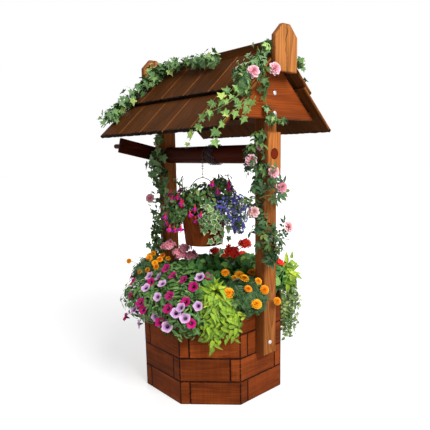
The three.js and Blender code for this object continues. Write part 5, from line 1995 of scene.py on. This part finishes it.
def plant_trailers(chance):
    """Lime vines over the front corner and the back right, and green trails below that."""
    front = lime_routes()
    toward = (-0.3, 0.8, 0.0)
    groups = in_turn(chance, "lime", front, 0.020, 0.055, 0.75, 0.45)
    right = beside(chance, RIGHT_LIME, 0.03)
    groups += in_turn(chance, "lime", right, 0.018, 0.060, 0.8, 0.5, toward)
    grow("lime_vine_leaves", groups, LIME_GREEN)
    grow_stems("lime_vine_stems", smooth_routes(front + RIGHT_LIME, 6), 0.0017)
    back = over_lobes(chance, WELL_LOBES[[9]], 420, 0.4)
    low = over_lobes(chance, WELL_LOBES[[7]], 90, 0.5)
    trails = beside(chance, TRAILS, 0.022, 2)
    groups = in_turn(chance, "ovate", trails, 0.012, 0.030, 1.2, 0.5, toward)
    for spread in (back, low):
        groups.append(leaf_group(chance, "ovate", spread, 0.028, up=0.3, drop=0.8))
    grow("trailing_leaves", groups, TRAIL_GREEN)
    grow_stems("trailing_stems", smooth_routes(trails, 5), 0.0013)


def plant_well():
    chance = np.random.default_rng(101)
    well = (0, 0, 0.46)
    plant_petunias(chance, well)
    plant_marigolds(chance, well)
    plant_geraniums(chance)
    plant_trailers(chance)


def plant_tub():
    chance = np.random.default_rng(202)
    hang = (HANG.x, HANG.y, TUB_RIM)
    middle = lobes_about([(0.1, -0.2, 0.72, 0.85, 0.8, 0.62)], hang, TUB_RIM_RADIUS)
    front = lobes_about([(0.92, 0.12, 0.42, 0.46, 0.46, 0.42)], hang, TUB_RIM_RADIUS)

    def over_tub(numbers, extra, count, depth, proud=1.0):
        lobes = np.concatenate((TUB_LOBES[numbers], extra))
        return over_lobes(chance, lobes, count, depth, proud, of_tub=True)

    dark = clear_of(over_tub([0, 1, 2, 3, 4], middle, 1250, 0.45), FUCHSIA_AT, 0.026)
    airy = clear_of(over_tub([1, 2, 3, 4], middle, 190, 0.06, 1.14), FUCHSIA_AT, 0.026)
    ways = {"up": 0.3, "drop": 0.2, "outward": 0.8}
    groups = [leaf_group(chance, "ovate", dark, 0.032, **ways)]
    groups.append(leaf_group(chance, "ovate", airy, 0.028, **ways))
    sprays = beside(chance, SPRAYS, 0.014)
    groups += in_turn(chance, "ovate", sprays, 0.012, 0.028, 1.0, 0.4, hang, True)
    grow("fuchsia_leaves", groups, FUCHSIA_GREEN, "tub", "tub_plants")
    count = len(FUCHSIA_AT)
    turns = leaf_frames(chance, np.tile((0.0, 0.0, -1.0), (count, 1)), up=0.0, loose=0.25, drop=0.0)
    sizes = 0.056 * (1 + 0.15 * chance.uniform(-1, 1, count))
    flowers = (PATTERNS["fuchsia"], turns, sizes, FUCHSIA_AT, chance.random(count))
    grow("fuchsia_flowers", [flowers], FUCHSIA_PETALS, "tub")
    lines = stem_lines(FUCHSIA_AT, np.concatenate((TUB_LOBES[[0, 1, 3, 4]], middle)), 0.6)
    lines += smooth_routes(SPRAYS, 5)
    grow_stems("fuchsia_stems", lines, 0.0012, STEM_BROWN, "tub", 0.9)
    airy = over_tub([5, 6], front, 950, 0.6)
    leaves = leaf_group(chance, "narrow", airy, 0.024, up=0.3, drop=0.3, outward=0.8)
    grow("lobelia_leaves", [leaves], BED_GREEN, "tub")
    blue = over_tub([5, 6], front, 330, 0.14, 1.08)
    flowers = leaf_group(chance, "lobelia", blue, 0.023, up=0.1, loose=0.4, drop=0.3, outward=0.0)
    grow("lobelia_flowers", [flowers], BLUE_PETALS, "tub")
    hanging = {"up": 0.1, "drop": 0.9, "outward": 0.3, "stray": 0.5}
    ivy = over_lobes(chance, TUB_LOBES[[7]], 26, 0.15, of_tub=True)
    groups = [leaf_group(chance, "ivy", ivy, 0.046, **hanging)]
    groups += in_turn(chance, "ivy", IVY_TRAILS, 0.034, 0.050, 0.8, 0.35, hang, True)
    grow("tub_ivy", groups, VARIEGATED, "tub")
    grow_stems("tub_ivy_stems", smooth_routes(IVY_TRAILS, 5), 0.0013, body="tub")


def plant_far_climbers(chance):
    ways = {"up": 0.1, "drop": 0.9, "outward": 0.4, "stray": 0.6}
    groups = strung(chance, "ivy", FAR_POST_ROUTES, 0.048, 190, 0.047, **ways)
    grow("far_post_ivy", groups, IVY_GREEN, "well", "post_ivy_far")
    ways = {"up": 0.7, "drop": 0.6, "outward": 0.4, "stray": 0.7}
    groups = []
    for lines, radius, count, size in (
        (RIDGE_ROUTES[:1], 0.058, 200, 0.044), (RIDGE_ROUTES[1:], 0.046, 190, 0.041),
        ([RIDGE_TENDRIL], 0.012, 7, 0.034), ([OVER_RIDGE], 0.035, 60, 0.040),
    ):
        groups += strung(chance, "ivy", lines, radius, count, size, **ways)
    grow("ridge_ivy_leaves", groups, IVY_GREEN, "well", "ridge_ivy")
    lines = smooth_routes(FAR_POST_ROUTES + RIDGE_ROUTES + [RIDGE_TENDRIL], 6)
    grow_stems("ivy_stems", lines, 0.0026, STEM_BROWN)


def plant_near_climbers(chance):
    rosy = {"up": 0.4, "drop": 0.5, "outward": 0.5, "stray": 0.7}
    ivied = {"up": 0.3, "drop": 0.9, "outward": 0.4, "stray": 0.5}
    groups = strung(chance, "rose_leaf", GABLE_ROUTES, 0.044, 56, 0.058, **rosy)
    groups += strung(chance, "ivy", GABLE_ROUTES, 0.056, 80, 0.032, **ivied)
    groups += strung(chance, "ivy", FACE_ROUTES + RIGHT_ROUTES, 0.030, 50, 0.036, **ivied)
    grow("gable_rose_leaves", groups, IVY_GREEN, "well", "gable_rose")
    groups = in_turn(chance, "ivy", beside(chance, PALE_ROUTES, 0.045), 0.047, 0.038, 0.8, 0.6)
    grow("gable_ivy_leaves", groups, PALE_IVY)
    groups = strung(chance, "rose_leaf", NEAR_POST_ROUTES[:1], 0.055, 150, 0.058, **rosy)
    sprays = beside(chance, NEAR_POST_ROUTES[1:], 0.018)
    groups += in_turn(chance, "rose_leaf", sprays, 0.034, 0.060, 0.9, 0.5)
    grow("near_post_rose_leaves", groups, ROSE_GREEN, "well", "post_rose_near")
    lines = smooth_routes(GABLE_ROUTES + PALE_ROUTES + FACE_ROUTES + NEAR_POST_ROUTES, 6)
    grow_stems("rose_stems", lines, 0.0024)


def plant_roses(chance):
    places, outs, tones = (np.array(column, float) for column in zip(*ROSES))
    turns = leaf_frames(chance, unit(outs), up=0.0, loose=0.15, drop=0.3, outward=0.0)
    sizes = np.full(len(places), 0.062)
    sizes[-1] = 0.038
    grow("climbing_roses", [(PATTERNS["rose"], turns, sizes, mm(places), tones)], ROSE_PETALS)


plant_well()
plant_tub()
far_chance, near_chance = np.random.default_rng(303), np.random.default_rng(404)
plant_far_climbers(far_chance)
plant_near_climbers(near_chance)
plant_roses(near_chance)
